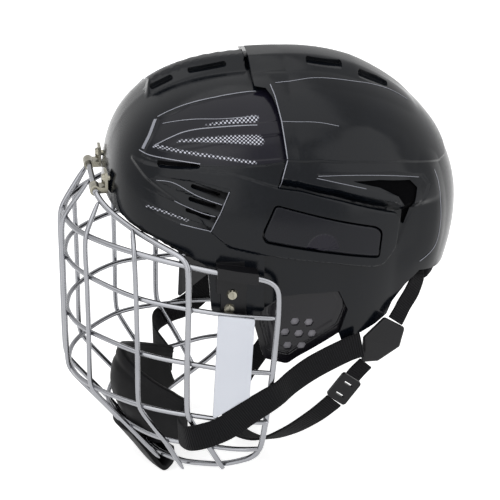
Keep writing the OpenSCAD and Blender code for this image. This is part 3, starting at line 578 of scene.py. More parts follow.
# %% Define the band and the twin
def smooth_path(stations, steps):
    p = np.array(stations, float)
    made = []
    for i in range(len(p) - 1):
        a, b, c, d = p[max(i - 1, 0)], p[i], p[i + 1], p[min(i + 2, len(p) - 1)]
        for k in range(steps):
            t = k / steps
            curve = (2 * a - 5 * b + 4 * c - d) * t * t + (3 * b - a - 3 * c + d) * t ** 3
            made.append((2 * b + (c - a) * t + curve) / 2)
    made.append(p[-1])
    return np.array(made)


def length_along(path):
    return np.concatenate([[0], np.cumsum(np.linalg.norm(np.diff(path, axis=0), axis=1))])


def strap(places, facings, width, thick=1.8, steps=8, rows=7, selvedge=0.45):
    path = smooth_path(places, steps)
    hint = smooth_path(facings, steps)
    across = unit(np.cross(unit(np.gradient(path, axis=0)), hint))
    length = length_along(path)
    bpy.ops.mesh.primitive_grid_add(x_subdivisions=len(path) - 1, y_subdivisions=rows, size=2)
    band = bpy.context.object
    flat = get_points(band) * MM
    column = np.rint((flat[:, 0] + 1) / 2 * (len(path) - 1)).astype(int)
    set_points(band, path[column] + across[column] * (flat[:, 1] * width / 2)[:, None])
    for loop in band.data.uv_layers[0].data:
        u, v = loop.uv
        loop.uv = (float(np.interp(u * (len(path) - 1), range(len(path)), length)) * MM, v * width * MM)
    apply_modifier(band, "SOLIDIFY", thickness=thick * MM, offset=0.0, use_even_offset=True)
    apply_modifier(band, "BEVEL", width=selvedge * MM, segments=2, limit_method="ANGLE",
                   angle_limit=math.radians(60))
    print("band", round(float(length[-1])), "mm long,", width, "mm wide")
    return band


def mirrored(piece):
    twin = copy_of(piece)
    set_points(twin, get_points(twin) * [-1, 1, 1])
    alone(twin)
    bpy.ops.object.mode_set(mode="EDIT")
    bpy.ops.mesh.select_all(action="SELECT")
    bpy.ops.mesh.flip_normals()
    bpy.ops.object.mode_set(mode="OBJECT")
    return twin


def finish_pair(piece, name, material, body, replaces=None):
    twin = mirrored(piece)
    for made, side in ((piece, "_left"), (twin, "_right")):
        stands_for = [replaces + side] if replaces else ()
        finish_piece(made, name + side, material, body.format(side), stands_for)

# %% [markdown]
# ## Marks and painted light on the shell
# A dot pattern painted pale as highlights, a violet tint with painted sheen, and
# the louvres' matt grain and painted shade are one vector attribute on a shell's
# points. A painted highlight line could go there too, but it is thinner than a
# face of the shell. So it is a thin band, laid first through listed stations and
# then lifted to the moulded face.

# %% Define the marks and the painted highlight lines
def on_face(stations, outer, step=1.5, curved=True):
    p = smooth_path(stations, 10) if curved else np.array(stations, float)
    length = length_along(p)
    at = np.linspace(0, length[-1], max(3, int(length[-1] / step)))
    p = np.stack([np.interp(at, length, p[:, k]) for k in range(3)], 1)
    # A line takes the highest face within 0.9 mm, so it doesn't sink in.
    reach = np.zeros(len(p))
    for shift in ((0, 0, 0), (0, 0.9, 0), (0, -0.9, 0), (0, 0, 0.9), (0, 0, -0.9)):
        reach = np.maximum(reach, np.linalg.norm(outer(unit(p + shift)), axis=1))
    return unit(p) * reach[:, None]


def row_of_dots(points, line, half_widths):
    path = on_face(line, bare_form, 4.0)
    half = np.interp(points[:, 1], [path[0, 1], path[-1, 1]], half_widths)
    return np.clip((half - near_line(path, bare_form(unit(points)))) / 0.6 + 0.5, 0, 1)


def set_marks_and_painted_light(piece, dots, violet_tint_and_sheen, matt_and_shade):
    layer = piece.data.attributes.new("film", "FLOAT_VECTOR", "POINT")
    layer.data.foreach_set("vector", np.column_stack([dots, violet_tint_and_sheen, matt_and_shade]).ravel())


# Painted highlights: each line is a thin pale band along an edge of the shell.
def painted_highlight_lines(name, lines, outer, body):
    bands = []
    for stations, width, curved in lines:
        path = on_face(stations, outer, curved=curved)
        band = strap(path, unit(path), width, thick=0.35, steps=1, rows=2, selvedge=0.1)
        bands += [band, mirrored(band)]
    finish_piece(joined(bands), name, painted_highlight_edge, body)

# %% [markdown]
# ## Front shell
# It covers the forehead and temples, and a low arm runs back from it on each
# side over the ear. Over the arm lies a sunk facet with two pointed panels, in
# front of it a recess with three louvres, and along the top a raised spine
# that ends in a blunt lip above the forehead. Each of these is an outline as
# seen from the side, because a mould is drawn that way too.

# %% Outlines of the front shell, seen from the side in millimetres
front_outline = [
    (-150, 20), (-128, 20), (-125.5, 19.4), (-106.5, 13), (-80.5, 1), (-67, -8), (-65, -14), (-63, -42),
    (-58, -47), (-32, -47), (-26.5, -42), (-26.5, 0), (-5, 0), (-5, 42), (-16.6, 44), (-16.2, 48),
    (-12, 58), (14, 54), (17, 60), (20, 107), (20, 150), (-150, 150)]
arm = rounded([
    (-113, 60), (-101, 59), (-75, 60), (-48, 58), (-16, 47.5), (0, 44.5), (27, 36), (62, 22.5), (69, 20), (72, 15),
    (71, 9), (69, -6), (60, -16.5), (52, -17), (20, -8.5), (-16, -1.5), (-50, 7), (-64, 19), (-72, 30),
    (-104, 50)], 3)
facet = [
    (-106, 63), (-93, 84), (-71, 94), (-53, 98), (-22, 101), (0, 103), (0, 64), (-24, 62), (-68, 62), (-101, 62)]
grille = rounded([(-114, 42), (-95, 53), (-69, 52), (-48, 47), (-55, 32), (-62, 18), (-83, 22), (-107, 30)], 2)
arrow_high = [
    (-98, 70), (-80, 80), (-69, 83), (-50, 85), (-26, 86.5), (0, 87), (0, 80), (-26, 79), (-60, 75), (-82, 70.5)]
arrow_low = [
    (-95, 69), (-80, 74), (-60, 77.5), (-27, 79.5), (0, 80), (0, 66), (-40, 65.5), (-58, 68), (-78, 69)]
lid = rounded([(-18, 36), (53, 13), (57, 9), (55, -9), (22, 0), (-25, 11.5), (-27, 15), (-26, 19)], 3)
lid_window = rounded([
    (-18.8, 37.6), (53.6, 14.5), (58.6, 9.6), (56.4, -10.7), (22, -1.5), (-26, 10), (-28.5, 14.6),
    (-27.5, 19.5)], 3.4)
slat_pitch = 9.2
shell_wall = 3.0
print("arm", len(arm), "points, grille", len(grille), "points")

# %% [markdown]
# The spine and the outlines become heights over the form. Each height rises
# over about a millimetre, as a moulded edge does, and a louvre's slat leans in
# from one edge to the next. Where the face changes, the ball is split finer.

# %% Shape the front shell's faces
def crown_height(y):
    power, reach = np.where(y < 0, 3.0, 2.0), np.where(y < 0, front_reach, rear_reach)
    return crown_z * np.maximum(0, 1 - np.abs(y / reach) ** power) ** (1 / power)


def spine(points, stations, feet, rises, low, high):
    y, x = points[:, 1], np.abs(points[:, 0])
    foot, top = np.interp(y, stations, feet), np.interp(y, stations, rises)
    wall_part = np.clip((foot - x) / (foot * 0.62), 0, 1)
    ends = np.clip((y - low) / 2.5, 0, 1) * np.clip((high - y) / 1.5, 0, 1)
    return np.where(points[:, 2] > 20, top * (wall_part * 0.75 + 0.25 * ease(wall_part)) * ends, 0)


def slat_count(points):
    return (points[:, 2] + 0.3 * (points[:, 1] + 54) - 18.5) / slat_pitch


def front_outer(units):
    bare = bare_form(units)
    height = 2.0 * ease(depth_inside(arm, bare) / 2.6 + 0.5)
    for outline, step in ((facet, -1.0), (arrow_high, 0.6), (arrow_low, -0.7)):
        height += step * ease(depth_inside(outline, bare) / 0.9 + 0.5)
    slat = slat_count(bare)
    sink = (0.4 + 1.9 * (slat - np.floor(slat))) * ease((bare[:, 1] + 112) / 45)
    height -= sink * ease(depth_inside(grille, bare) / 0.9 + 0.5)
    moved = bare + units * height[:, None]
    moved[:, 2] += spine(bare, [-97, -60, -27], [10, 12, 14], [9, 9.5, 9], -97.5, -25.5)
    return moved


def front_inner(units):
    beyond_rim = -depth_inside(front_outline, bare_form(units))
    return units * (form_radius(units) - shell_wall + 2.0 * ease((beyond_rim + 1.0) / 3.0))[:, None]


def front_crisp(c):
    slat = slat_count(c)
    on_slat = np.where(depth_inside(grille, c) > 0, np.abs(slat - np.rint(slat)) * slat_pitch, 99)
    return np.min(near_edges((facet, grille, arrow_high, arrow_low), c) + [on_slat], axis=0)


def front_features(c):
    x, y, z = np.abs(c[:, 0]), c[:, 1], c[:, 2]
    near = near_edges((arm, facet, grille, arrow_high, arrow_low, lid_window, front_outline), c)
    ridge = np.abs(x - np.interp(y, [-97, -27], [10, 14]))
    near.append(np.where((z > 50) & (y > -100) & (y < -22), ridge, 99))
    near.append(np.where((x < 13) & (z > 50), np.abs(y + 97), 99))
    return np.min(near, axis=0)

# %% [markdown]
# On each side the front shell has two air slots in its spine, one slot under
# the facet, three behind the louvres and a window for the lid. Cutters make
# them, because the mesh then needs no edges laid out for them beforehand.

# %% Cut and shape the front shell
def spine_slot(y0, y1, lift, x):
    z0, z1 = (float(crown_height(np.array(v))) + lift for v in (y0, y1))
    return both_sides(slot_outline((y0, z0), (y1, z1), 1.7), x, x + 40)


front_holes = spine_slot(-93, -80, 4, 4.5) + spine_slot(-66, -42, 4.5, 4.5)
for start, end, half in (((-95, 60.5), (-70, 62), 1.6), ((-74, 49), (-57, 44), 1.4),
                         ((-76, 40.5), (-60, 36), 1.4), ((-78, 32), (-64, 28), 1.4)):
    front_holes.append(cutter(slot_outline(start, end, half)))
front_holes += both_sides(lid_window, 60, 130)
front_shell = moulded_sheet([front_outline, arm], front_outer, front_inner, front_features, front_holes,
                            crisp=front_crisp)
finish_piece(front_shell, "shell_front_moulded", shell_plastic, "front", ["front_shell"], 30)

# %% [markdown]
# Four rows of dots, painted pale as highlights, lie on the facet and the grille.
# Two of them widen to the rear, so each row is a line with a half width at
# either end. The thin bright lines are painted highlights along edges, each
# with its own width.

# %% Paint the dots, tint and shade on the front shell and lay its highlight lines
dot_rows = [
    ([(59, -62, 85), (60, -45, 87), (60, -28, 88.5)], (0.4, 2.8)),
    ([(61, -82, 75), (68, -60, 78), (71.5, -40, 79), (72, -27, 77.5)], (0.6, 3.4)),
    ([(54, -98, 70), (68, -78, 70), (75, -58, 68), (79, -40, 65.5), (81, -31, 64.5)], (1.1, 1.1)),
    ([(68, -105, 31), (76, -93, 29), (83, -79, 25)], (0.8, 0.8))]
points = get_points(front_shell)
slat = slat_count(points)
dots = np.max([row_of_dots(points, line, half_widths) for line, half_widths in dot_rows], axis=0)
# The facet's violet tint, partly its tone and partly painted sheen, grows towards the rear.
violet_tint_and_sheen = np.clip(depth_inside(facet, points), 0, 1) * np.interp(points[:, 1], [-100, -20], [0.2, 0.8])
# Painted shade: the deep part of each louvre is painted near black, and made matt as well.
matt_and_shade = np.clip(depth_inside(grille, points), 0, 1) * np.clip((slat - np.floor(slat) - 0.35) * 6, 0, 1)
set_marks_and_painted_light(front_shell, dots, violet_tint_and_sheen, matt_and_shade * np.clip((points[:, 1] + 72) / 12, 0, 1))
# Lines of painted highlight along the front shell's edges: stations, width, curved.
front_lines = [
    ([(38, -93, 85), (40, -71, 94), (41, -53, 98), (40, -24, 101)], 0.7, True),
    ([(45, -91, 83), (53, -70, 88), (58, -50, 89), (59, -25, 90)], 0.5, True),
    ([(54, -98, 70), (58, -80, 80), (60, -69, 83), (63, -50, 85), (65, -27, 86)], 0.8, True),
    ([(48, -107, 65), (56, -101, 64), (66, -86, 63.5), (75, -68, 63)], 0.7, True),
    ([(39, -95, 84), (46, -99, 75), (50, -105, 66.5)], 3.0, True),
    ([(87, -49, 46), (89, -55, 32), (89, -62, 18), (82, -83, 22)], 0.6, False),
    ([(69, -97, 50), (75, -86, 50), (83, -70, 42.5), (88, -54, 37)], 0.5, True),
    ([(78, -86, 38), (86, -70, 32), (89, -59, 29)], 0.5, True)]
painted_highlight_lines("shell_front_buffed_edges", front_lines, front_outer, "front")

# %% [markdown]
# ## Rear shell
# It laps over the front shell above a ledge and slides inside its arm below it,
# so its height over the form changes at that ledge. Soft creases run over the
# side, a wider spine carries on the front one, and a bent vent lies behind the
# arm. The ledge and the roof line run round the head, so they are latitudes
# over longitudes instead of outlines seen from the side.

# %% Outlines and creases of the rear shell
rear_outline = [
    (-25, 150), (-25, 104.6), (-17.5, 103.5), (-14, 99.7), (-11.6, 94), (-10.6, 85.6), (-9.6, 73), (-8.6, 63),
    (-15, 47), (-28.5, 47), (-28, -44), (-14, -34), (1, -33), (28, -35), (35, -51), (29, -70), (31, -76),
    (46, -72), (57, -68), (66, -63), (70, -54), (80, -43), (91, -34), (103, -37), (150, -46), (150, 150)]
vent = rounded([
    (37, 47.5), (57, 45), (81, 39), (87, 32), (85, 24), (76.5, 6), (74.5, 8), (76, 23), (71, 31), (57, 40)], 1)
vent_frame = [
    (12, 54), (35, 52), (66, 47), (90, 38), (95, 30), (89, 18), (82, 7), (77, -8), (72, -8), (73, 13), (72, 24),
    (69, 31), (62, 34.5), (46, 40.5), (28, 47)]
roof_crease = [(28, -12, 104), (25, 14, 103), (24, 43, 99), (21, 67, 91), (17, 86, 80)]
side_crease = [(62, -11, 86), (62, 25, 82), (58, 76, 65)]
tail_crease = [(54, 99, 40), (58, 104, 18), (60, 103, -8), (64, 99, -24), (71, 90, -27)]
ledge_lon = [60, 80, 90, 107, 127, 131, 134, 150, 180]
ledge_lat = [32, 30.6, 29, 23.8, 15, 13.2, 11, 9, 9]
roof_lon = [60, 84, 100, 119, 138, 152, 159, 167, 173, 180]
roof_lat = [38.5, 37.8, 37, 33.3, 27.7, 22, 19.4, 18.3, 20.5, 25]
lap = 3.8
mm_per_degree = 1.7
print("vent", len(vent), "points, tail crease", len(tail_crease), "points")

# %% [markdown]
# Above the ledge the rear shell lies 3.8 mm over the form, below it as much and
# more under it. At the back it has no front shell to clear, and both heights
# meet. A crease is a low tent along a line.

# %% Shape the rear shell's faces
def above_ledge(lon, lat):
    return np.clip((lat - np.interp(lon, ledge_lon, ledge_lat) + 1.1) / 2.2, 0, 1)


def rear_offset(units):
    lon, lat = lon_lat(units)
    low = -lap - 2.6 * ease((lon - 90) / 21)
    low = low + (lap - low) * ease((lon - 133) / 22)
    return low + (lap - low) * above_ledge(lon, lat)


def tent(line, points, height, reach):
    return height * np.maximum(0, 1 - near_line(line, points) / reach)


def below_roof(units):
    lon, lat = lon_lat(units)
    band = np.maximum(above_ledge(lon, lat), ease((lon - 133) / 22))
    return band * (1 - np.clip((lat - np.interp(lon, roof_lon, roof_lat)) / 0.6 + 0.5, 0, 1))


def rear_outer(units):
    bare = bare_form(units)
    height = rear_offset(units) - 1.3 * below_roof(units)
    for crease, rise_mm, reach in ((roof_crease, 1.0, 15), (side_crease, 0.35, 9), (tail_crease, 1.3, 15)):
        height = height + tent(crease, bare, rise_mm, reach)
    height = height - 0.8 * ease(depth_inside(vent_frame, bare) / 1.6 + 0.4)
    moved = bare + units * height[:, None]
    moved[:, 2] += spine(bare, [-25, 50, 92], [25, 24, 18], [6, 4.4, 0.3], -40, 93)
    return moved


def under_rear(drop):
    return lambda units: units * (form_radius(units) + rear_offset(units) - drop)[:, None]


def rear_crisp(c):
    lon, lat = lon_lat(unit(c))
    near = np.abs(lat - np.interp(lon, roof_lon, roof_lat)) * mm_per_degree
    return np.minimum(near, np.abs(depth_inside(vent, c)))


def rear_features(c):
    y, z = c[:, 1], c[:, 2]
    lon, lat = lon_lat(unit(c))
    near = near_edges((vent, vent_frame, rear_outline), c)
    near += [near_line(line, c) for line in (roof_crease, tail_crease)]
    for lons, lats in ((ledge_lon, ledge_lat), (roof_lon, roof_lat)):
        near.append(np.abs(lat - np.interp(lon, lons, lats) + 0.6) * mm_per_degree)
    ridge = np.abs(np.abs(c[:, 0]) - np.interp(y, [-25, 50, 92], [25, 24, 18]))
    near.append(np.where((z > 50) & (y < 94), ridge, 99))
    return np.min(near, axis=0)

# %% [markdown]
# On each side the rear shell has two air slots in its spine, a narrow slot over
# the ear guard and the bent vent. One cut could take out all of them. The last
# two are cut one by one, so that a cut that goes wrong can be told by its tool.

# %% Cut and shape the rear shell
rear_holes = spine_slot(17, 40, 6.2, 9) + spine_slot(54, 73, 4.7, 12)
rear_shell = moulded_sheet([rear_outline], rear_outer, under_rear(shell_wall), rear_features, rear_holes,
                           crisp=rear_crisp)
for hole in (slot_outline((-9, -38), (28, -40), 1), vent):
    cut(rear_shell, [cutter(hole)], "DIFFERENCE")
finish_piece(rear_shell, "shell_rear_moulded", shell_plastic, "rear", ["rear_shell"], 30)

# %% [markdown]
# The bent vent is dark, because a near black, matt sheet lies under it as painted
# shade. It is one more moulded sheet, a little larger than the vent, just inside
# the shell.

# %% Lay the sheets of painted shade and the rear shell's highlight lines
shade_sheet_outline = [
    (33, 50), (57, 48), (83, 42), (91, 32), (88, 22), (77, 3), (71, 8), (73, 22), (69, 28), (57, 37)]
# Painted shade: a black sheet just inside each bent vent.
shade_sheet = moulded_sheet([shade_sheet_outline], under_rear(3.4), under_rear(4.2), rear_crisp, [], left_only=True, fine=1)
finish_pair(shade_sheet, "vent_felt", painted_shade_black, "rear")
# Lines of painted highlight along the rear shell's edges: stations, width, curved.
rear_lines = [
    ([(38, -13.3, 101), (48, -11.8, 98), (66, -10, 87), (83, -8.6, 66)], 0.7, False),
    ([(83, -8.6, 65), (89, -13.5, 52), (91, -16, 48.5)], 0.7, False),
    ([(66, -10, 87), (66, 13, 85.5), (66, 30, 81)], 0.35, True),
    ([(50, 100, 37), (51, 103, 29), (54, 105, 15), (55, 105, -4), (58, 102, -18), (67, 92, -27)], 0.6, True),
    ([(86, 12, 53), (83, 35, 51), (74, 66, 45), (63, 88, 38)], 0.4, True),
    ([(87, 11, 52), (87, 28, 47), (85, 46, 41)], 0.4, True),
    ([(38, -10, 105), (35, 5, 105), (32, 20, 105), (29, 45, 100), (24, 62, 94), (20, 76, 87), (18, 88, 79)],
     0.45, True)]
painted_highlight_lines("shell_rear_buffed_edges", rear_lines, rear_outer, "rear")

# %% [markdown]
# ## Adjuster lids
# A flat lid lies flush in each arm and turns up on a pin along its top edge. A
# half-round dish at its lower edge, with fine ribs like a fan, lets the thumb
# in. The lid is a small moulded sheet, so its face follows the arm's own curve.

# %% Make the two lids
dish_y, dish_z, dish_r = 14, 3, 12


def lid_outer(units):
    bare = bare_form(units)
    height = 2.0 - 0.8 * (1 - ease(depth_inside(lid, bare) / 1.2))
    y, z = bare[:, 1] - dish_y, bare[:, 2] - dish_z
    dish = ease((dish_r - np.hypot(y, z)) / 2.0) * ease((z + 0.8) / 1.2)
    ribs = 0.1 * np.sin(28 * np.arctan2(z + 2, y))
    height = height - dish * (1.15 - 0.45 * np.hypot(y, z) / dish_r + ribs)
    return bare + units * height[:, None]


def lid_features(c):
    from_dish = np.hypot(c[:, 1] - dish_y, c[:, 2] - dish_z)
    return np.minimum(near_edges((lid,), c)[0], np.maximum(0, from_dish - (dish_r - 1)))


lid_plate = moulded_sheet([lid], lid_outer, under_form(0.2), lid_features, [], left_only=True, fine=3)
points = get_points(lid_plate)
from_dish = np.hypot(points[:, 1] - dish_y, points[:, 2] - dish_z)
in_dish = ease((dish_r + 0.2 - from_dish) / 1.5) * ease((points[:, 2] - 1.5) / 1.5)
nothing = np.zeros(len(points))
# Painted sheen: the lids get a quarter of the violet tint all over and the full tint in the thumb dish.
set_marks_and_painted_light(lid_plate, nothing, np.minimum(1, 0.25 + in_dish), nothing)
finish_pair(lid_plate, "adjuster_lid", shell_plastic, "latch{}", "latch_lid")

# %% [markdown]
# ## Ear guards
# A smoked panel hangs inside the rear shell over each ear. It has a raised
# border with a double bevel and seven six-sided sound holes. It is a moulded
# sheet too, and its border is a height that follows the panel's outline.

# %% Make the two ear guards
ear_outline = rounded([
    (-33, -45), (-14, -28), (1, -27), (30, -29), (38, -46), (38, -54), (32, -69), (-1, -87), (-8, -92),
    (-25, -86), (-33, -54)], 2.5)
ear_holes = [(-3, -57.5), (7, -59), (-10, -65.5), (0, -67.5), (9.5, -68.5), (-8, -76.5), (2, -77.5)]
hole_r = 3.5


def ear_outer(units):
    bare = bare_form(units)
    edge = depth_inside(ear_outline, bare)
    height = -9.5 + 1.0 * ease((8.5 - edge) / 1.6) - 1.0 * ease((4.0 - edge) / 1.6) - 0.7 * (1 - ease(edge / 1.0))
    return bare + units * height[:, None]


def ear_features(c):
    edge = depth_inside(ear_outline, c)
    return np.min([np.abs(edge - 7.7), np.abs(edge - 3.2), np.abs(edge)], axis=0)


hexes = []
for y, z in ear_holes:
    corners = [(y + hole_r * math.cos(t), z + hole_r * math.sin(t)) for t in np.radians(np.arange(0, 360, 60))]
    hexes.append(cutter(corners, 40, 120))
ear_guard = moulded_sheet([ear_outline], ear_outer, under_form(11.9), ear_features, hexes, left_only=True, fine=3)
finish_pair(ear_guard, "ear_guard_panel", smoked, "rear", "ear_guard")

# %% [markdown]
# Grey shows through the sound holes, so a thin grey sheet lies behind them. It
# is small and six-sided and follows the guard's inner face.

# %% Make the grey sheet behind the sound holes
backing_outline = [(-17, -66), (-8, -52.5), (8, -52), (16, -67), (8, -83), (-12, -82)]
patch = moulded_sheet([backing_outline], under_form(12.0), under_form(12.4), ear_features, [], left_only=True, fine=1)
finish_pair(patch, "sound_hole_gauze", grey_backing, "rear")

# %% [markdown]
# ## Cage wires
# The wires of the real cage are round steel rods, bent and spot welded. The CAD
# wires have eight sides. They could be drawn anew as curves, but a merged copy
# of each set, with its triangles joined back to squares and smoothed twice, is
# round and stays in place. Smoothing draws the section in by a tenth of its
# radius, so the copy is grown by that much first.

# %% Round the wires
drawn_in = 0.108


def round_copy(node, radius):
    made = merged_copy(node)
    alone(made)
    bpy.ops.object.mode_set(mode="EDIT")
    bpy.ops.mesh.select_all(action="SELECT")
    bpy.ops.mesh.tris_convert_to_quads(face_threshold=math.radians(60), shape_threshold=math.radians(60))
    bpy.ops.transform.shrink_fatten(value=drawn_in * radius * MM)
    bpy.ops.object.mode_set(mode="OBJECT")
    apply_modifier(made, "SUBSURF", levels=2, render_levels=2)
    return made


for node, radius in (("cage_uprights", 1.8), ("cage_crossbars", 1.8), ("cage_outer_frame", 2.1),
                     ("cage_brow_frame", 2.1)):
    finish_piece(round_copy(node, radius), node + "_round", wire_plate, "cage", [node], 60)

# %% [markdown]
# ## Straps
# Each strap is a band of webbing, 1.8 mm thick, laid through listed stations. A
# facing goes with each station and says which way the flat side looks. The
# straps of the left side are mirrored to the right.

# %% Make the straps on both sides
cage_strap_route = [
    ((87.8, 45.4, -78.6), (1, 0.3, 0.1)), ((89.9, 33, -81.5), (1, 0.1, 0)), ((92.8, 10, -91), (1, 0.1, 0)),
    ((96, -6, -100), (1, 0.3, 0)), ((102.8, -16.5, -104.8), (1, 0.3, 0)), ((104.7, -25, -109), (1, 0, 0)),
    ((104.4, -40, -118.5), (1, -0.2, 0)), ((101.5, -56, -131), (0.9, -0.4, -0.1)),
    ((100.6, -69.8, -136.2), (0.9, -0.6, 0)), ((96.3, -80.5, -140), (0.75, -0.7, 0)),
    ((86.5, -84.8, -142.2), (0.5, -0.9, 0)), ((74, -85.2, -143.5), (0.1, -1, 0)),
    ((60, -80.5, -148), (-0.1, -1, 0)), ((45, -76, -151), (-0.2, -1, 0))]
rear_strap_route = [
    ((52.4, 85.8, -34), (0.9, 0.4, 0)), ((58, 91, -41), (0.9, 0.4, 0)), ((66, 86, -49), (1, 0.2, 0)),
    ((71.8, 78.8, -57.2), (1, 0.2, 0)), ((75.6, 75, -61.8), (1, 0.2, 0)), ((78, 71.3, -66.8), (1, 0.1, 0))]
hanger_route = [((80.6, 50, -97.6), (1, 0.1, 0)), ((80.3, 44, -104), (1, 0, 0)), ((80, 40.5, -108.5), (1, 0, 0))]
chin_half = [
    ((78.7, 27.5, -127.4), (1, 0, 0)), ((77.9, 23.7, -131.4), (1, 0, -0.1)), ((75, 12.5, -142), (1, -0.1, -0.4)),
    ((65, -3.5, -157.5), (0.9, 0, -0.7)), ((49, -20, -171.5), (0.5, 0, -1)), ((22, -32, -180.5), (0.2, 0, -1)),
    ((0, -36, -182.5), (0, 0, -1))]
chin_route = chin_half + [((-p[0], p[1], p[2]), (-f[0], f[1], f[2])) for p, f in chin_half[-2::-1]]

for name, route, width, body, steps in (
        ("cage_strap", cage_strap_route, 19, "cage", 6), ("rear_strap", rear_strap_route, 12.5, "rear", 6),
        ("hanger", hanger_route, 12, "rear", 4)):
    band = strap([p for p, f in route], [f for p, f in route], width, steps=steps)
    finish_pair(band, name + "_webbing", webbing, body, name)
chin = strap([p for p, f in chin_route], [f for p, f in chin_route], 14, steps=6)
finish_piece(chin, "chin_strap_webbing", webbing, "rear", ["chin_strap"])

# %% [markdown]
# ## Chin cup
# The cup is a soft dipped pad behind the lower wires. It is full at the front
# and drawn up to a strap on each side. A flap of it wraps forward under the
# ring of the cage. Both are bent grids, given thickness and a soft bevel: a
# formula bends them more evenly than pulled points would.

# %% Make the chin cup
def bent_grid(columns, rows, shape, thick):
    bpy.ops.mesh.primitive_grid_add(x_subdivisions=columns, y_subdivisions=rows, size=2)
    made = bpy.context.object
    flat = get_points(made) * MM
    set_points(made, shape(flat[:, 0], (1 - flat[:, 1]) / 2))
    apply_modifier(made, "SOLIDIFY", thickness=thick * MM, offset=0.0, use_even_offset=True)
    apply_modifier(made, "BEVEL", width=1.6 * MM, segments=3, limit_method="ANGLE", angle_limit=math.radians(60))
    return made


def cup_shape(u, v):
    top = -112 - 26 * np.abs(u) ** 1.6
    low = -186 + 18 * np.abs(u) ** 2
    front = -121 + 43 * np.abs(u) ** 2.2 - 9 * np.sin(np.pi * v ** 0.9) * (1 - 0.6 * np.abs(u))
    front = front + 24 * v ** 3 * (1 - np.abs(u))
    seam = np.exp(-((v - 0.12) / 0.03) ** 2) + np.exp(-((np.abs(u) - 0.86) / 0.03) ** 2)
    return np.stack([u * 44, front + 0.7 + 1.0 * seam, top + (low - top) * v], 1)


def flap_shape(u, v):
    section = [(-95.2, -183), (-94.5, -192), (-97.2, -198.2), (-102.7, -200.2), (-113.8, -185.5), (-125, -170.9)]
    path = smooth_path(section, 8)
    at = v * (len(path) - 1)
    y = np.interp(at, range(len(path)), path[:, 0])
    z = np.interp(at, range(len(path)), path[:, 1])
    narrow = 1 - 0.25 * ease((v - 0.55) / 0.45)
    return np.stack([u * 33 * narrow, y + 9.5 * u * u, z + 1.2 * np.abs(u)], 1)


cup_wall, flap_wall, cup_set_back = 5.0, 3.4, 2.6
cup = bent_grid(49, 37, cup_shape, cup_wall)
set_points(cup, get_points(cup) + [0, cup_set_back, 0])
flap = bent_grid(37, 41, flap_shape, flap_wall)
cup = joined([cup, flap])
finish_piece(cup, "chin_cup_dipped", cup_vinyl, "cage", ["chin_cup"], 50)

# %% [markdown]
# ## Foam pads
# Die-cut foam pads line both shells. Cloth simulation suits a sewn cushion, but
# these are cut from a stiff sheet. So each copy of a CAD pad is remeshed finely
# and smoothed, which rounds its corners as a hot knife leaves them. Pressed
# channels, 4 mm wide, then run over the side that faces the head.

# %% Make the pads
channel_depth, channel_half_width, voxel = 2.2, 2.0, 2.4


def foam_pad(node, body, channels):
    made = merged_copy(node)
    apply_modifier(made, "REMESH", mode="VOXEL", voxel_size=voxel * MM)
    apply_modifier(made, "SMOOTH", factor=0.5, iterations=6)
    points = get_points(made)
    normals = np.empty(len(points) * 3)
    made.data.vertices.foreach_get("normal", normals)
    normals = normals.reshape(-1, 3)
    out = unit(points)
    faces_head = np.clip(-(normals * out).sum(1) * 2 - 0.6, 0, 1)
    lon = np.degrees(np.arctan2(points[:, 0], -points[:, 1]))
    lat = np.degrees(np.arcsin(out[:, 2]))
    reach = np.linalg.norm(points, axis=1)
    groove = np.zeros(len(points))
    for kind, at in channels:
        from_back = np.mod(lon, 360) - 180
        off = lat - at if kind == "across" else (from_back if at == 180 else lon - at) * np.cos(np.radians(lat))
        groove = np.maximum(groove, np.exp(-(np.radians(off) * reach / channel_half_width) ** 2))
    set_points(made, points - normals * (channel_depth * groove * faces_head)[:, None])
    apply_modifier(made, "SUBSURF", levels=1, render_levels=1)
    finish_piece(made, node + "_foam", foam, body, [node], 80)


foam_pad("forehead_pad", "front", [("up", -36), ("up", -18), ("up", 0), ("up", 18), ("up", 36), ("across", 14)])
foam_pad("crown_pad", "front", [("up", -20), ("up", 20), ("across", 62)])
for side in ("left", "right"):
    foam_pad("temple_pad_" + side, "front", [("across", -8), ("across", 8)])
foam_pad("rear_crown_pad", "rear", [("up", 180), ("across", 52)])
for side, sign in (("left", 1), ("right", -1)):
    foam_pad("side_pad_" + side, "rear", [("up", sign * 98), ("up", sign * 111)])
foam_pad("occipital_pad", "rear", [("up", 180), ("across", -12), ("across", 2)])

# %% [markdown]
# ## Finishes of the pieces that keep their CAD shape
# The clips, screws, pins, connectors, glides and plates are right as they are.
# Each gets the material of the real one in its own material slot.

# %% Give the CAD pieces their finish
finishes = {
    "top_clip_": zinc, "j_clip_": nylon, "j_clip_screws": zinc, "latch_base_": nylon, "latch_pin_": bare_steel,
    "strap_connector_": nylon, "strap_glide_": nylon, "cage_top_bar": wire_plate, "cage_plate_": sheet_pale}
for name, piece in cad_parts.items():
    for start, material in finishes.items():
        if name.startswith(start):
            piece.data.materials.clear()
            piece.data.materials.append(material)
print("finishes for", ", ".join(finishes))

# %% [markdown]
# ## Floor, light and background
# The photograph has a plain white ground. A pale floor lies just under the
# helmet. Large soft lamps stand above and to both sides, and the world adds an
# even fill. Brighter lamps would make the ground white too, but they would pale
# the helmet. So, where the camera or a reflection looks past the object, Light
# Path makes floor and world white, and the shadow stays.

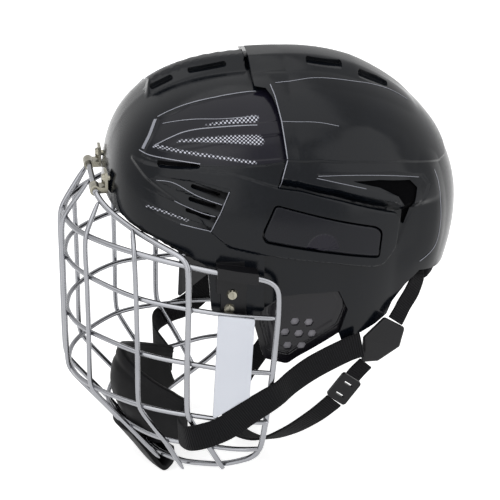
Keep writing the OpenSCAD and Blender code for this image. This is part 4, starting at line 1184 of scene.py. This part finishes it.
# %% Build the studio
def sees_white(tree):
    path = add(tree, "ShaderNodeLightPath")
    seen = path.outputs["Is Camera Ray"]
    for ray in ("Is Glossy Ray", "Is Transmission Ray"):
        seen = add(tree, "ShaderNodeMath", {0: seen, 1: path.outputs[ray]}, operation="MAXIMUM").outputs["Value"]
    return seen


scene = bpy.context.scene
scene.view_settings.view_transform = "Standard"
lowest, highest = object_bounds()
bpy.ops.mesh.primitive_plane_add(size=8, location=(0, 0, lowest.z - 0.5 * MM))
floor = bpy.context.object
floor.name = "studio_floor"
floor_paint, floor_tree, floor_shader = start_material("matt_white_floor_paint", "#f4f4f4", 0.9)
lit = floor_shader.outputs["BSDF"]
white = add(floor_tree, "ShaderNodeEmission", {"Color": (1, 1, 1, 1), "Strength": 0.7})
sum_up = add(floor_tree, "ShaderNodeAddShader", {0: lit, 1: white.outputs["Emission"]})
mix = add(floor_tree, "ShaderNodeMixShader", {0: sees_white(floor_tree), 1: lit, 2: sum_up.outputs["Shader"]})
floor_tree.links.new(mix.outputs["Shader"], floor_tree.nodes["Material Output"].inputs["Surface"])
floor.data.materials.append(floor_paint)

world = bpy.data.worlds.new("studio_room")
world.use_nodes = True
scene.world = world
background = world.node_tree.nodes["Background"]
background.inputs["Color"].default_value = (1, 1, 1, 1)
level = add(world.node_tree, "ShaderNodeMapRange", {"Value": sees_white(world.node_tree), "To Min": 0.35,
                                                    "To Max": 1.0})
world.node_tree.links.new(level.outputs["Result"], background.inputs["Strength"])

for name, place, size, power in (
        ("overhead_softbox", (0.2, -0.3, 1.6), (2.4, 2.4), 17), ("key_softbox", (1.6, -1.0, 0.9), (2.0, 2.2), 16),
        ("rear_softbox", (1.1, 1.5, 0.8), (1.8, 2.0), 12)):
    bpy.ops.object.light_add(type="AREA", location=place)
    lamp = bpy.context.object
    lamp.name = name
    lamp.data.shape = "RECTANGLE"
    lamp.data.size, lamp.data.size_y = size
    lamp.data.energy = power
    lamp.rotation_euler = (Vector((0, 0, -0.03)) - Vector(place)).to_track_quat("-Z", "Y").to_euler()
    print(name, power, "W")
